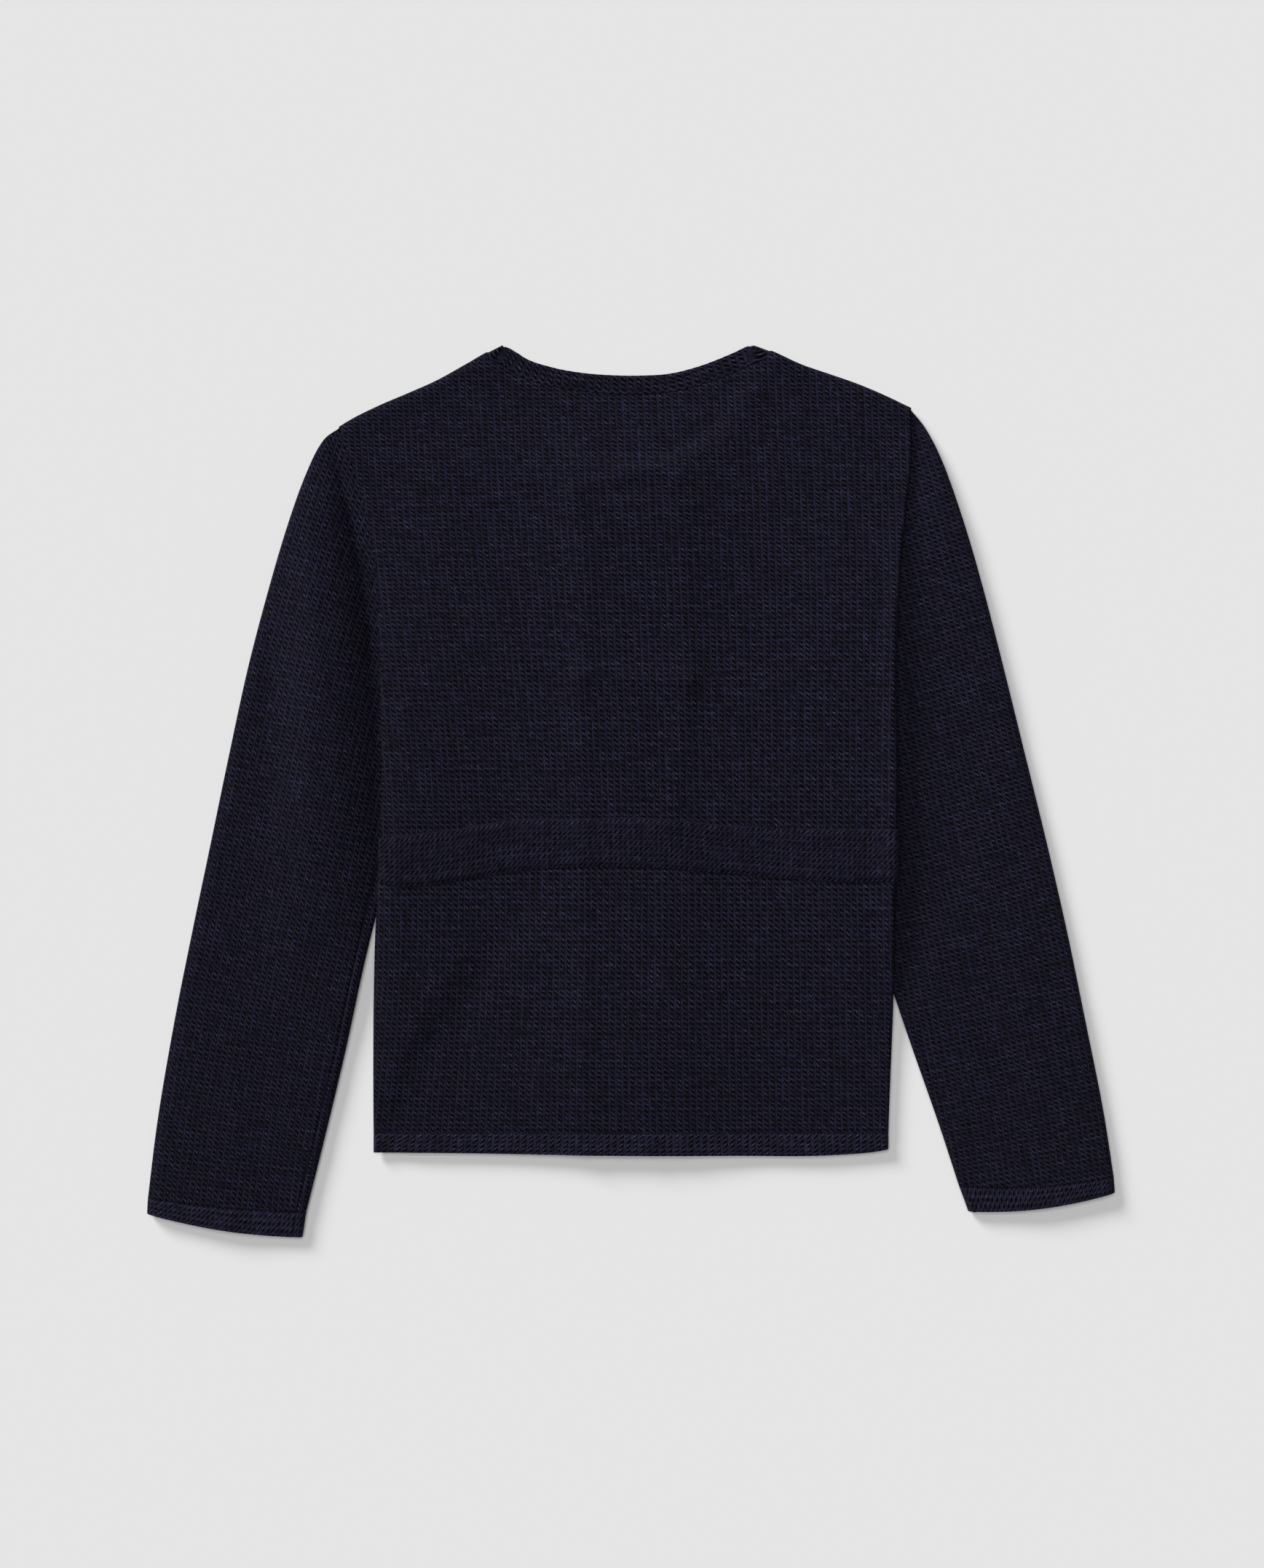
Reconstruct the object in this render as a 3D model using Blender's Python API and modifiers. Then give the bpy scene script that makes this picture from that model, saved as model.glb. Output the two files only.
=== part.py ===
"""A child's double-breasted cardigan in knitted cloth, laid flat on its front with the back up.

The garment lies on the plane z = 0, neck towards +Y, with its origin at the bottom centre of its box.
Sizes are in millimetres until place() turns them into metres. Every cloth piece is the middle surface
of its wall, a grid that is bent to shape and thickened by a Solidify modifier.

From the surface up lie: the sleeves (flattened tubes), the left front, the right front, the back, and
the half belt. The sides of the body lie over the inner parts of the sleeves.
"""

from collections import namedtuple
from math import atan2, cos, hypot, pi, radians, sin, sqrt

import bmesh
import bpy

METRES = 0.001  # one millimetre

# Cloth
WALL = 2.2  # thickness of the knitted cloth
HALF = WALL / 2
LAYER = 2.8  # from the middle of one layer to the middle of the next
SEAM = 0.3  # gap between two pieces that are sewn together
FOLD = 2.2  # radius of the soft folds, at the middle of the wall
PRESSED = 1.7  # radius of the sleeve's inner fold, which the body presses flatter
FOLD_INSET = FOLD + HALF  # from the outline to the axis of a soft fold
PUFF = 2 * FOLD - LAYER  # how far a soft fold holds the upper layer up
PUFF_REACH = 15.0  # and how far in from the fold that is felt

# Ribs
NECK_RIB = 10.4
HEM_SEAM_Y = -195.6
FRONT_HEM_RISE = 1.0  # the fronts are this much shorter than the back

# Closure: the fronts overlap between these two lines, each in a wide ribbed band
OVERLAP = 30.0  # half the overlap
OVERLAP_FOOT = 46.0  # where the upper layers are down again
BAND_TOP_Y = 191.0
BAND_GAP = 0.35  # the slope beside a band tilts its neighbour's edge towards it

# Buttons, lying face down under the left front
BUTTON_RADIUS = 8.0
BUTTON_HEIGHT = 2.6
BUTTON_X = 18.0
BUTTON_LIFT = BUTTON_HEIGHT + SEAM
ButtonRow = namedtuple("ButtonRow", "y foot_low crest_low crest_high foot_high")
BUTTON_ROWS = (
    ButtonRow(158.0, 132.0, 149.0, 167.0, 184.0),
    ButtonRow(60.0, 34.0, 51.0, 69.0, 86.0),
    ButtonRow(-38.0, -85.0, -61.0, -9.0, 15.0),
    ButtonRow(-136.0, -162.0, -145.0, -127.0, -110.0),
)

# Outlines of the body: the side folds, and above them the armhole seams
Edge = namedtuple("Edge", "y x")
LEFT_SIDE = (
    Edge(-208.0, -147.3),
    Edge(-113.0, -146.9),
    Edge(-71.0, -145.6),
    Edge(-50.0, -144.2),
    Edge(-24.0, -142.4),
    Edge(0.0, -142.2),
    Edge(52.0, -143.1),
    Edge(91.0, -144.0),
    Edge(121.0, -145.6),
    Edge(149.0, -149.8),
    Edge(175.0, -156.0),
    Edge(190.0, -161.0),
    Edge(208.5, -167.7),
)
RIGHT_SIDE = (
    Edge(-208.0, 147.0),
    Edge(-197.0, 147.3),
    Edge(-163.0, 148.5),
    Edge(-130.0, 149.8),
    Edge(-50.0, 150.8),
    Edge(-12.0, 151.9),
    Edge(91.0, 151.9),
    Edge(126.0, 154.0),
    Edge(160.0, 157.3),
    Edge(190.0, 160.6),
    Edge(219.6, 160.5),
)
Top = namedtuple("Top", "x y")
SHOULDERS = (
    Top(-167.7, 208.5),
    Top(-161.0, 212.7),
    Top(-144.4, 221.0),
    Top(-127.7, 228.1),
    Top(-111.0, 235.6),
    Top(-94.4, 244.8),
    Top(-77.7, 254.0),
    Top(-73.5, 255.6),
    Top(70.2, 255.6),
    Top(80.6, 252.3),
    Top(97.3, 244.8),
    Top(114.0, 239.0),
    Top(130.6, 233.1),
    Top(147.3, 226.0),
    Top(160.5, 219.6),
)
BACK_HEM = (
    Top(-147.3, -206.9),
    Top(-94.0, -207.3),
    Top(-27.0, -208.4),
    Top(55.0, -208.7),
    Top(114.0, -208.4),
    Top(139.0, -206.5),
    Top(147.0, -205.2),
)
NECK_POINTS = (Top(-73.5, 255.6), Top(70.2, 255.6))
BACK_NECK = (  # between the neck points
    Top(-61.0, 248.1),
    Top(-44.4, 242.7),
    Top(-27.7, 239.8),
    Top(-11.0, 238.5),
    Top(6.0, 238.3),
    Top(22.3, 239.4),
    Top(39.0, 243.5),
    Top(55.6, 249.8),
)
FRONT_NECK_DEPTH = 68.6

# The body is lifted where it lies over a sleeve. Each row: y, and the inner limit of the sleeve there
LIFT = 2 * PRESSED + WALL + SEAM
LIFT_MARGIN = 14.0
LIFT_REACH = 26.0
LEFT_SLEEVE_LIMIT = (
    Edge(-147.0, -163.0),
    Edge(-100.0, -153.0),
    Edge(-58.0, -142.9),
    Edge(-20.0, -134.2),
    Edge(12.0, -126.4),
    Edge(34.0, -121.0),
    Edge(57.0, -115.2),
    Edge(65.0, -126.0),
    Edge(80.0, -138.0),
    Edge(95.0, -144.3),
)
RIGHT_SLEEVE_LIMIT = (
    Edge(-147.0, 161.0),
    Edge(-105.0, 147.0),
    Edge(-63.5, 134.8),
    Edge(-25.0, 125.7),
    Edge(8.0, 118.8),
    Edge(30.0, 115.3),
    Edge(50.0, 113.0),
    Edge(60.0, 128.0),
    Edge(78.0, 144.0),
    Edge(95.0, 152.2),
)
SIDE_OPENS = (100.0, 145.0)  # between these the side fold turns into the armhole seam
SLEEVE_LEAVES = (104.0, 132.0)  # between these the body comes down beside the armhole
LEFT_LANDS = (-130.0, -90.0)  # between these the side comes down beside the sleeve
RIGHT_LANDS = (-170.0, -130.0)

# Sleeves: one row a section, from the cuff seam to the armhole. sag bends the section towards the cuff,
# mouth bends it to the armhole's curve.
Section = namedtuple("Section", "outer_x outer_y inner_x inner_y sag mouth")
LEFT_SLEEVE = (
    Section(-276.4, -232.3, -185.8, -240.2, 1.8, 0.0),
    Section(-270.4, -185.0, -174.8, -196.0, 0.0, 0.0),
    Section(-261.0, -130.2, -163.1, -146.9, 0.0, 0.0),
    Section(-251.0, -80.0, -153.0, -100.0, 0.0, 0.0),
    Section(-240.6, -30.2, -142.9, -58.0, 0.0, 0.0),
    Section(-230.2, 20.0, -134.2, -20.0, 0.0, 0.0),
    Section(-219.4, 69.8, -126.4, 12.0, 0.0, 0.2),
    Section(-207.6, 115.0, -121.0, 34.0, 0.0, 0.4),
    Section(-196.6, 152.0, -118.0, 45.0, 0.0, 0.6),
    Section(-185.9, 182.0, -116.3, 51.5, 0.0, 0.8),
    Section(-176.5, 200.5, -115.6, 55.5, 0.0, 0.93),
    Section(-168.4, 208.3, -115.2, 57.3, 0.0, 1.0),
)
LEFT_ARMHOLE = (
    Top(-168.4, 208.3),
    Top(-161.9, 190.0),
    Top(-156.9, 175.0),
    Top(-150.7, 149.0),
    Top(-146.9, 121.0),
    Top(-145.5, 95.0),
    Top(-138.0, 80.0),
    Top(-126.0, 65.0),
    Top(-115.2, 57.3),
)
LEFT_CUFF_END = Section(-276.9, -241.5, -188.1, -255.0, 2.8, 0.0)
RIGHT_SLEEVE = (
    Section(276.2, -220.2, 187.6, -225.2, 3.2, 0.0),
    Section(269.8, -180.0, 176.1, -190.0, 0.0, 0.0),
    Section(259.8, -130.2, 161.0, -146.9, 0.0, 0.0),
    Section(249.5, -80.0, 147.0, -105.0, 0.0, 0.0),
    Section(238.1, -30.2, 134.8, -63.5, 0.0, 0.0),
    Section(225.8, 20.0, 125.7, -25.0, 0.0, 0.0),
    Section(213.5, 69.8, 118.8, 8.0, 0.0, 0.2),
    Section(201.9, 115.0, 115.3, 28.0, 0.0, 0.4),
    Section(191.2, 152.0, 114.0, 38.5, 0.0, 0.6),
    Section(179.4, 186.0, 113.4, 44.5, 0.0, 0.8),
    Section(169.4, 206.5, 113.1, 48.2, 0.0, 0.93),
    Section(161.6, 219.3, 113.0, 50.0, 0.0, 1.0),
)
RIGHT_ARMHOLE = (
    Top(161.6, 219.3),
    Top(162.3, 190.0),
    Top(159.1, 160.0),
    Top(155.7, 126.0),
    Top(153.6, 95.0),
    Top(144.0, 78.0),
    Top(128.0, 60.0),
    Top(113.0, 50.0),
)
RIGHT_CUFF_END = Section(276.9, -229.4, 193.1, -240.2, 3.6, 0.0)

# Half belt on the back. Each row: x, its lower and its upper edge
Belt = namedtuple("Belt", "x low high")
BELT = (
    Belt(-145.0, -51.5, -26.5),
    Belt(-131.9, -54.0, -25.2),
    Belt(-98.5, -50.6, -21.0),
    Belt(-65.2, -45.3, -16.0),
    Belt(-27.0, -42.7, -15.2),
    Belt(14.0, -43.5, -15.2),
    Belt(58.5, -46.9, -19.4),
    Belt(91.9, -49.8, -21.0),
    Belt(125.6, -51.4, -21.0),
    Belt(152.0, -51.0, -21.5),
)
BELT_CLEARANCE = 0.1  # more than between other layers, because the belt is free between its ends

# Grid lines that all the layers of the body share, so that they bend alike
FIXED_X = (10.0, 30.0, 46.0, 60.0, 80.0, 100.0)
SIDE_SHARES = (0.68, 0.36, 0.14)
Bend = namedtuple("Bend", "inset drop")  # points of a fold's quarter round, as shares of its radius
SKIRT = (2 * FOLD + HALF - SEAM) / FOLD  # the back goes down past the front's edge to here
BENDS = (Bend(0.732, 0.0), Bend(0.268, 0.268), Bend(0.0, 0.732), Bend(0.0, SKIRT))
FRONT_INSET = HALF + FOLD * BENDS[0].inset  # the front stops inside the back's fold
LEVELS = (-180, -162, -145, -127, -110, -85, -61, -35, -9, 15, 34, 51, 69, 86, 110, 132, 149, 167, 184)
TOP_SHARES = (0.3, 0.65)

NAVY = (0.0125, 0.0115, 0.024)
NAVY_RIB = (0.0135, 0.012, 0.025)
BUTTON_NAVY = (0.012, 0.013, 0.02)


# Small maths


def clamp(value):
    return min(max(value, 0.0), 1.0)


def ramp(value, full, none):
    """1 where value is full or before it, 0 where it is none or past it, and straight between."""
    return 1.0 - clamp((value - full) / (none - full))


def soft_ramp(value, full, none):
    """As ramp, but easing in and out."""
    t = ramp(value, full, none)
    return t * t * (3.0 - 2.0 * t)


def along(points, key, value):
    """Reads a table at one column's value. The table is sorted by that column, and has two columns."""
    k, v = (0, 1) if points[0]._fields[0] == key else (1, 0)
    if value <= points[0][k]:
        return points[0][v]
    for a, b in zip(points, points[1:]):
        if value <= b[k]:
            return a[v] + (b[v] - a[v]) * (value - a[k]) / (b[k] - a[k])
    return points[-1][v]


def left_side(y):
    return along(LEFT_SIDE, "y", y)


def right_side(y):
    return along(RIGHT_SIDE, "y", y)


def shoulder_y(x):
    return along(SHOULDERS, "x", x)


def shoulder_lean(x):
    """How much longer the shoulder's slope makes a distance that is measured along Y."""
    rise = shoulder_y(x + 4.0) - shoulder_y(x - 4.0)
    return hypot(1.0, rise / 8.0)


def side_fold(y):
    """1 where the side of the body is a fold, 0 where it is the armhole seam."""
    return soft_ramp(y, *SIDE_OPENS)


# How high the layers of the body lie


def sleeve_lift(x, y):
    """How far a sleeve that lies beneath lifts the body."""
    over = LIFT * soft_ramp(y, *SLEEVE_LEAVES)
    left = x - along(LEFT_SLEEVE_LIMIT, "y", y) if y < 95.0 else x - left_side(y)
    right = along(RIGHT_SLEEVE_LIMIT, "y", y) - x if y < 95.0 else right_side(y) - x
    left_share = soft_ramp(left, LIFT_MARGIN, LIFT_MARGIN + LIFT_REACH)
    right_share = soft_ramp(right, LIFT_MARGIN, LIFT_MARGIN + LIFT_REACH)
    left_share *= 1.0 - ramp(y, *LEFT_LANDS)
    right_share *= 1.0 - ramp(y, *RIGHT_LANDS)
    return over * max(left_share, right_share)


def button_lift(x, y):
    """How far a row of buttons holds the cloth off the surface."""
    rows = (
        min(ramp(-y, -row.crest_low, -row.foot_low), ramp(y, row.crest_high, row.foot_high))
        for row in BUTTON_ROWS
    )
    return BUTTON_LIFT * max(rows) * ramp(abs(x), OVERLAP, OVERLAP_FOOT)


def left_front_z(x, y):
    return HALF + sleeve_lift(x, y) + button_lift(x, y)


def right_front_z(x, y):
    return left_front_z(x, y) + LAYER * ramp(x, OVERLAP, OVERLAP_FOOT)


def fold_puff(x, y):
    """How far the side and shoulder folds hold the back up."""
    side = min(x - left_side(y), right_side(y) - x)
    top = (shoulder_y(x) - y) / shoulder_lean(x)
    near_side = side_fold(y) * soft_ramp(side, FOLD_INSET, FOLD_INSET + PUFF_REACH)
    near_top = soft_ramp(top, FOLD_INSET, FOLD_INSET + PUFF_REACH)
    near_top *= 1.0 if abs(x) > NECK_POINTS[1].x else 0.0
    return PUFF * max(near_side, near_top)


def neck_sag(x, y):
    """1 where nothing of the fronts lies under the back, so that it rests on the surface."""
    left, right = NECK_POINTS
    across = (x - (left.x + right.x) / 2) / ((right.x - left.x) / 2)
    down = (left.y - y) / FRONT_NECK_DEPTH
    return soft_ramp(hypot(across, down), 0.42, 0.7)


def back_z(x, y):
    full = left_front_z(x, y) + LAYER + LAYER * ramp(abs(x), OVERLAP, OVERLAP_FOOT) + fold_puff(x, y)
    return HALF + (full - HALF) * (1.0 - neck_sag(x, y))


# Making objects


def clear_scene():
    for obj in list(bpy.data.objects):
        bpy.data.objects.remove(obj, do_unlink=True)


def material(name, colour, roughness):
    mat = bpy.data.materials.new(name)
    mat.use_nodes = True
    shader = mat.node_tree.nodes["Principled BSDF"]
    shader.inputs["Base Color"].default_value = (*colour, 1.0)
    shader.inputs["Roughness"].default_value = roughness
    shader.inputs["Metallic"].default_value = 0.0
    return mat


def new_collection(name):
    found = bpy.data.collections.new(name)
    bpy.context.scene.collection.children.link(found)
    return found


def place(point):
    """A point in millimetres as metres."""
    return tuple(value * METRES for value in point)


def add_object(name, bm, home, mat=None):
    mesh = bpy.data.meshes.new(name)
    bm.to_mesh(mesh)
    bm.free()
    obj = bpy.data.objects.new(name, mesh)
    if mat:
        mesh.materials.append(mat)
    home.objects.link(obj)
    return obj


def sheet(name, rows, home, mat, closed=False):
    """A cloth wall round the middle surface whose points are rows of (x, y, z) in millimetres."""
    across = len(rows[0]) if closed else len(rows[0]) - 1
    up = len(rows) - 1
    bm = bmesh.new()
    bmesh.ops.create_grid(bm, x_segments=across, y_segments=up, size=1.0)
    for vert in bm.verts:
        column = round((vert.co.x + 1.0) / 2.0 * across)
        row = round((vert.co.y + 1.0) / 2.0 * up)
        vert.co = place(rows[row][column % len(rows[0])])
    if closed:
        bmesh.ops.remove_doubles(bm, verts=bm.verts, dist=1e-7)
    bmesh.ops.triangulate(bm, faces=bm.faces, quad_method="FIXED")
    obj = add_object(name, bm, home, mat)
    wall = obj.modifiers.new("Wall", "SOLIDIFY")
    wall.thickness = WALL * METRES
    wall.offset = 0.0
    wall.use_even_offset = True
    wall.use_quality_normals = True
    return obj


def prism(name, outline, low, high, home):
    """A cutter: an outline of (x, y) between two heights."""
    bm = bmesh.new()
    verts = [bm.verts.new(place((x, y, low))) for x, y in outline]
    face = bm.faces.new(verts)
    grown = bmesh.ops.extrude_face_region(bm, geom=[face])
    top = [item for item in grown["geom"] if isinstance(item, bmesh.types.BMVert)]
    bmesh.ops.translate(bm, vec=place((0.0, 0.0, high - low)), verts=top)
    bmesh.ops.recalc_face_normals(bm, faces=bm.faces)
    obj = add_object(name, bm, home)
    obj.hide_render = True
    obj.display_type = "WIRE"
    return obj


def cut(obj, cutter):
    hole = obj.modifiers.new("Cut", "BOOLEAN")
    hole.operation = "DIFFERENCE"
    hole.object = cutter


# The body's grid. A column is fixed in x, a share of the way to a side, or part of the side's fold.

Column = namedtuple("Column", "kind value side")
Row = namedtuple("Row", "kind value")


def half_columns(side, folded):
    columns = [Column("fixed", side * x, side) for x in FIXED_X]
    columns += [Column("share", share, side) for share in SIDE_SHARES]
    if folded:
        return columns + [Column("fold", bend, side) for bend in BENDS]
    return columns + [Column("edge", None, side)]


def body_columns(folded):
    return half_columns(-1, folded)[::-1] + half_columns(1, folded)


def body_rows(bottom_y, folded):
    rows = [Row("bottom", bottom_y)]
    rows += [Row("level", float(y)) for y in LEVELS]
    rows += [Row("share", share) for share in TOP_SHARES]
    if folded:
        return rows + [Row("fold", bend) for bend in BENDS]
    return rows + [Row("edge", None)]


def column_x(column, y):
    if column.kind == "fixed":
        return column.value
    edge = left_side(y) if column.side < 0 else right_side(y)
    if column.kind == "share":
        start = edge - column.side * FOLD_INSET
        limit = column.side * FIXED_X[-1]
        return start + column.value * (limit - start)
    at_armhole = SEAM / 2  # there the edge is flat and is the seam
    if column.kind == "edge":
        inset = FRONT_INSET + (at_armhole - FRONT_INSET) * ramp(side_fold(y), 0.0, 0.1)
    elif column.value is BENDS[-1]:
        inset = HALF + (at_armhole - HALF) * ramp(side_fold(y), 0.0, 0.5)
    else:
        inset = HALF + FOLD * column.value.inset
    return edge - column.side * inset


def row_y(row, x):
    if row.kind in ("bottom", "level"):
        return row.value
    top = shoulder_y(x)
    if row.kind == "share":
        start = LEVELS[-1]
        return start + row.value * (top - FOLD_INSET * shoulder_lean(x) - start)
    inset = FRONT_INSET if row.kind == "edge" else HALF + FOLD * row.value.inset
    return top - inset * shoulder_lean(x)


def grid_point(column, row, shift=0.0):
    """The plan position of a grid point. A row's height depends on x and a column's place on y."""
    y = row_y(row, column.value if column.kind == "fixed" else column.side * 150.0)
    for _ in range(6):
        x = column_x(column, y) + shift
        y = row_y(row, x)
    return x, y


def fold_drop(column, row, y):
    """How far the back's fold takes its edge down."""
    side = column.value.drop * side_fold(y) if column.kind == "fold" else 0.0
    top = row.value.drop if row.kind == "fold" else 0.0
    return FOLD * max(side, top)


def body_sheet(name, columns, rows, height, home, mat, shifts=None):
    """A layer of the body. shifts moves a fixed column, to part two pieces."""
    shifts = shifts or {}
    grid = []
    for row in rows:
        line = []
        for column in columns:
            x, y = grid_point(column, row, shifts.get(column.value, 0.0))
            line.append((x, y, height(x, y) - fold_drop(column, row, y)))
        grid.append(line)
    return sheet(name, grid, home, mat)


def hem_sheet(name, columns, height, rise, home, mat, shifts=None):
    """A hem rib below the body's bottom line, on the same columns."""
    shifts = shifts or {}
    grid = []
    for share in (0.0, 1.0):
        line = []
        for column in columns:
            shift = shifts.get(column.value, 0.0)
            x, _ = grid_point(column, Row("level", HEM_SEAM_Y), shift)
            top = HEM_SEAM_Y - SEAM / 2
            low = along(BACK_HEM, "x", x) + rise
            y = top + share * (low - top)
            z = height(x, HEM_SEAM_Y) - fold_drop(column, Row("level", y), y)
            line.append((x, y, z))
        grid.append(line)
    return sheet(name, grid[::-1], home, mat)


# The neck rib


def unit(dx, dy):
    length = hypot(dx, dy)
    return dx / length, dy / length


def shoulder_direction(side):
    """Down the shoulder, away from the neck."""
    point = NECK_POINTS[0 if side < 0 else 1]
    away = point.x + side * 18.0
    return unit(away - point.x, shoulder_y(away) - point.y)


def shoulder_outward(side):
    dx, dy = shoulder_direction(side)
    return -dy * side, dx * side


def neck_corner(side):
    """The neck point, moved in to the axis of the shoulder's fold."""
    point = NECK_POINTS[0 if side < 0 else 1]
    out_x, out_y = shoulder_outward(side)
    return point.x - out_x * FOLD_INSET, point.y - out_y * FOLD_INSET


Rib = namedtuple("Rib", "x y out_x out_y")  # a point of the neck's edge, and the way to the seam


def ribs_along(points, first_out, last_out):
    """The outward directions at the inner points are square to the line, and the ends are given."""
    ribs = [Rib(*points[0], *first_out)]
    for a, here, b in zip(points, points[1:], points[2:]):
        dx, dy = unit(b[0] - a[0], b[1] - a[1])
        ribs.append(Rib(*here, dy, -dx))
    return ribs + [Rib(*points[-1], *last_out)]


def back_neck_ribs():
    points = [neck_corner(-1)] + [(p.x, p.y) for p in BACK_NECK] + [neck_corner(1)]
    return ribs_along(points, shoulder_direction(-1), shoulder_direction(1))


def front_neck_ribs():
    """From the left neck point round the front to the right one, with points on both overlap lines."""
    (left_x, left_y), (right_x, right_y) = neck_corner(-1), neck_corner(1)
    middle, half_width = (left_x + right_x) / 2, (right_x - left_x) / 2
    low_y = NECK_POINTS[0].y - FRONT_NECK_DEPTH

    def angle_of(x):
        return atan2(sqrt(1.0 - ((x - middle) / half_width) ** 2), (x - middle) / half_width)

    lines = (-OVERLAP_FOOT, -OVERLAP, OVERLAP, OVERLAP_FOOT)
    stops = (pi, *(angle_of(x) for x in lines), 0.0)
    counts = (5, 1, 4, 1, 5)
    angles = [
        start + (end - start) * step / count
        for start, end, count in zip(stops, stops[1:], counts)
        for step in range(count)
    ] + [0.0]
    points = []
    for angle in angles:
        corner_y = left_y if cos(angle) < 0 else right_y
        points.append((middle + half_width * cos(angle), corner_y - (corner_y - low_y) * sin(angle)))
    ribs = ribs_along(points, shoulder_direction(-1), shoulder_direction(1))
    for index, rib in enumerate(ribs):
        if min(abs(rib.x - line) for line in lines) < 0.01:
            ribs[index] = Rib(rib.x, rib.y, 0.0, 1.0 / rib.out_y)
    return ribs


def seam_point(rib, width):
    return rib.x + rib.out_x * width, rib.y + rib.out_y * width


def neck_cutter(name, ribs, home):
    """Everything on the neck's side of the rib's seam."""
    width = NECK_RIB + SEAM
    line = [seam_point(rib, width) for rib in ribs]
    first, last = line[0], line[-1]
    reach = 3.0 * FOLD_INSET
    out_left, out_right = shoulder_outward(-1), shoulder_outward(1)
    start = (first[0] + out_left[0] * reach, first[1] + out_left[1] * reach)
    end = (last[0] + out_right[0] * reach, last[1] + out_right[1] * reach)
    above = NECK_POINTS[0].y + 20.0
    outline = [(start[0], above), start] + line + [end, (end[0], above)]
    return prism(name, outline, -10.0, 25.0, home)


def rib_line(rib, height):
    """The cross line of the neck rib, from the opening's edge to the seam."""
    line = []
    for share in (0.0, 0.5, 1.0):
        x, y = seam_point(rib, NECK_RIB * share)
        line.append((x, y, height(x, y)))
    return line


def rib_turn(side, down):
    """The neck rib's way round the shoulder's fold, from the back to the front or the other way."""
    corner_x, corner_y = neck_corner(side)
    away_x, away_y = shoulder_direction(side)
    out_x, out_y = shoulder_outward(side)
    turns = (0, 45, 90, 135, 180)
    lines = []
    for turn in turns if down else turns[::-1]:
        bulge = FOLD * sin(radians(turn))
        z = HALF + FOLD + FOLD * cos(radians(turn))
        line = []
        for share in (0.0, 0.5, 1.0):
            x = corner_x + away_x * NECK_RIB * share + out_x * bulge
            y = corner_y + away_y * NECK_RIB * share + out_y * bulge
            line.append((x, y, z))
        lines.append(line)
    return lines


def build_neck_band(home, mat):
    front = front_neck_ribs()
    back = back_neck_ribs()
    left = [rib for rib in front[1:] if rib.x <= OVERLAP + 0.01]
    right = [rib for rib in front[:-1] if rib.x >= -OVERLAP - 0.01]
    rows = [rib_line(rib, left_front_z) for rib in left[::-1]]
    rows += rib_turn(-1, down=False)
    rows += [rib_line(rib, back_z) for rib in back[1:-1]]
    rows += rib_turn(1, down=True)
    rows += [rib_line(rib, right_front_z) for rib in right[::-1]]
    return sheet("neck_band", rows, home, mat)


# Sleeves


def between(a, b, share):
    return Section(*(p + (q - p) * share for p, q in zip(a, b)))


# A fold's half round, from the top layer down to the bottom one
TURN = (Bend(0.586, 0.0), Bend(0.0, 0.586), Bend(0.0, 1.414), Bend(0.586, 2.0))


def refine(sections, parts):
    """More sections between the given ones, on straight runs."""
    finer = []
    for index, (a, b) in enumerate(zip(sections, sections[1:])):
        count = parts if index < len(sections) - 5 else 1
        finer += [between(a, b, step / count) for step in range(count)]
    return finer + [sections[-1]]


def read_line(points, share):
    """A point at a share of the length of a line of points."""
    lengths = [hypot(b[0] - a[0], b[1] - a[1]) for a, b in zip(points, points[1:])]
    rest = share * sum(lengths)
    for a, b, length in zip(points, points[1:], lengths):
        if rest <= length:
            t = rest / length
            return a[0] + (b[0] - a[0]) * t, a[1] + (b[1] - a[1]) * t
        rest -= length
    return points[-1]


def section_line(section, armhole, steps=48):
    """The section's plan line from its outer fold to its inner fold."""
    start, end = armhole[0], armhole[-1]
    away_x, away_y = unit(section.inner_x - section.outer_x, section.inner_y - section.outer_y)
    low_x, low_y = (away_y, -away_x) if section.inner_x > section.outer_x else (-away_y, away_x)
    line = []
    for step in range(steps + 1):
        q = step / steps
        bend = 4.0 * q * (1.0 - q) * section.sag
        mouth_x, mouth_y = read_line(armhole, q)
        off_x = mouth_x - (start.x + (end.x - start.x) * q)
        off_y = mouth_y - (start.y + (end.y - start.y) * q)
        x = section.outer_x + (section.inner_x - section.outer_x) * q
        y = section.outer_y + (section.inner_y - section.outer_y) * q
        line.append((x + low_x * bend + off_x * section.mouth, y + low_y * bend + off_y * section.mouth))
    return line


def ring(section, armhole):
    """The middle of the wall round a flattened sleeve: over the top, round the inner fold and back."""
    line = section_line(section, armhole)
    length = sum(hypot(b[0] - a[0], b[1] - a[1]) for a, b in zip(line, line[1:]))

    def at(distance):
        return read_line(line, distance / length)

    top = (10.0, 20.0, 0.38 * length, 0.58 * length, 0.79 * length)
    bottom = (0.75 * length, 0.5 * length, 0.25 * length)
    points = []
    for distance in top:
        z = HALF + LAYER + PUFF * soft_ramp(distance, FOLD_INSET, FOLD_INSET + PUFF_REACH)
        points.append((*at(distance), z))
    inner = [(*at(length - HALF - PRESSED * bend.inset), PRESSED * bend.drop) for bend in TURN]
    outer = [(*at(HALF + FOLD * bend.inset), FOLD * bend.drop) for bend in TURN[::-1]]
    points += [(x, y, HALF + 2 * PRESSED - drop) for x, y, drop in inner]
    points += [(*at(distance), HALF) for distance in bottom]
    points += [(x, y, HALF + 2 * FOLD - drop) for x, y, drop in outer]
    return points


def moved(section, toward, distance):
    """The section, moved a little towards another one."""
    span = hypot(toward.outer_x - section.outer_x, toward.outer_y - section.outer_y)
    return between(section, toward, distance / span)


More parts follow.
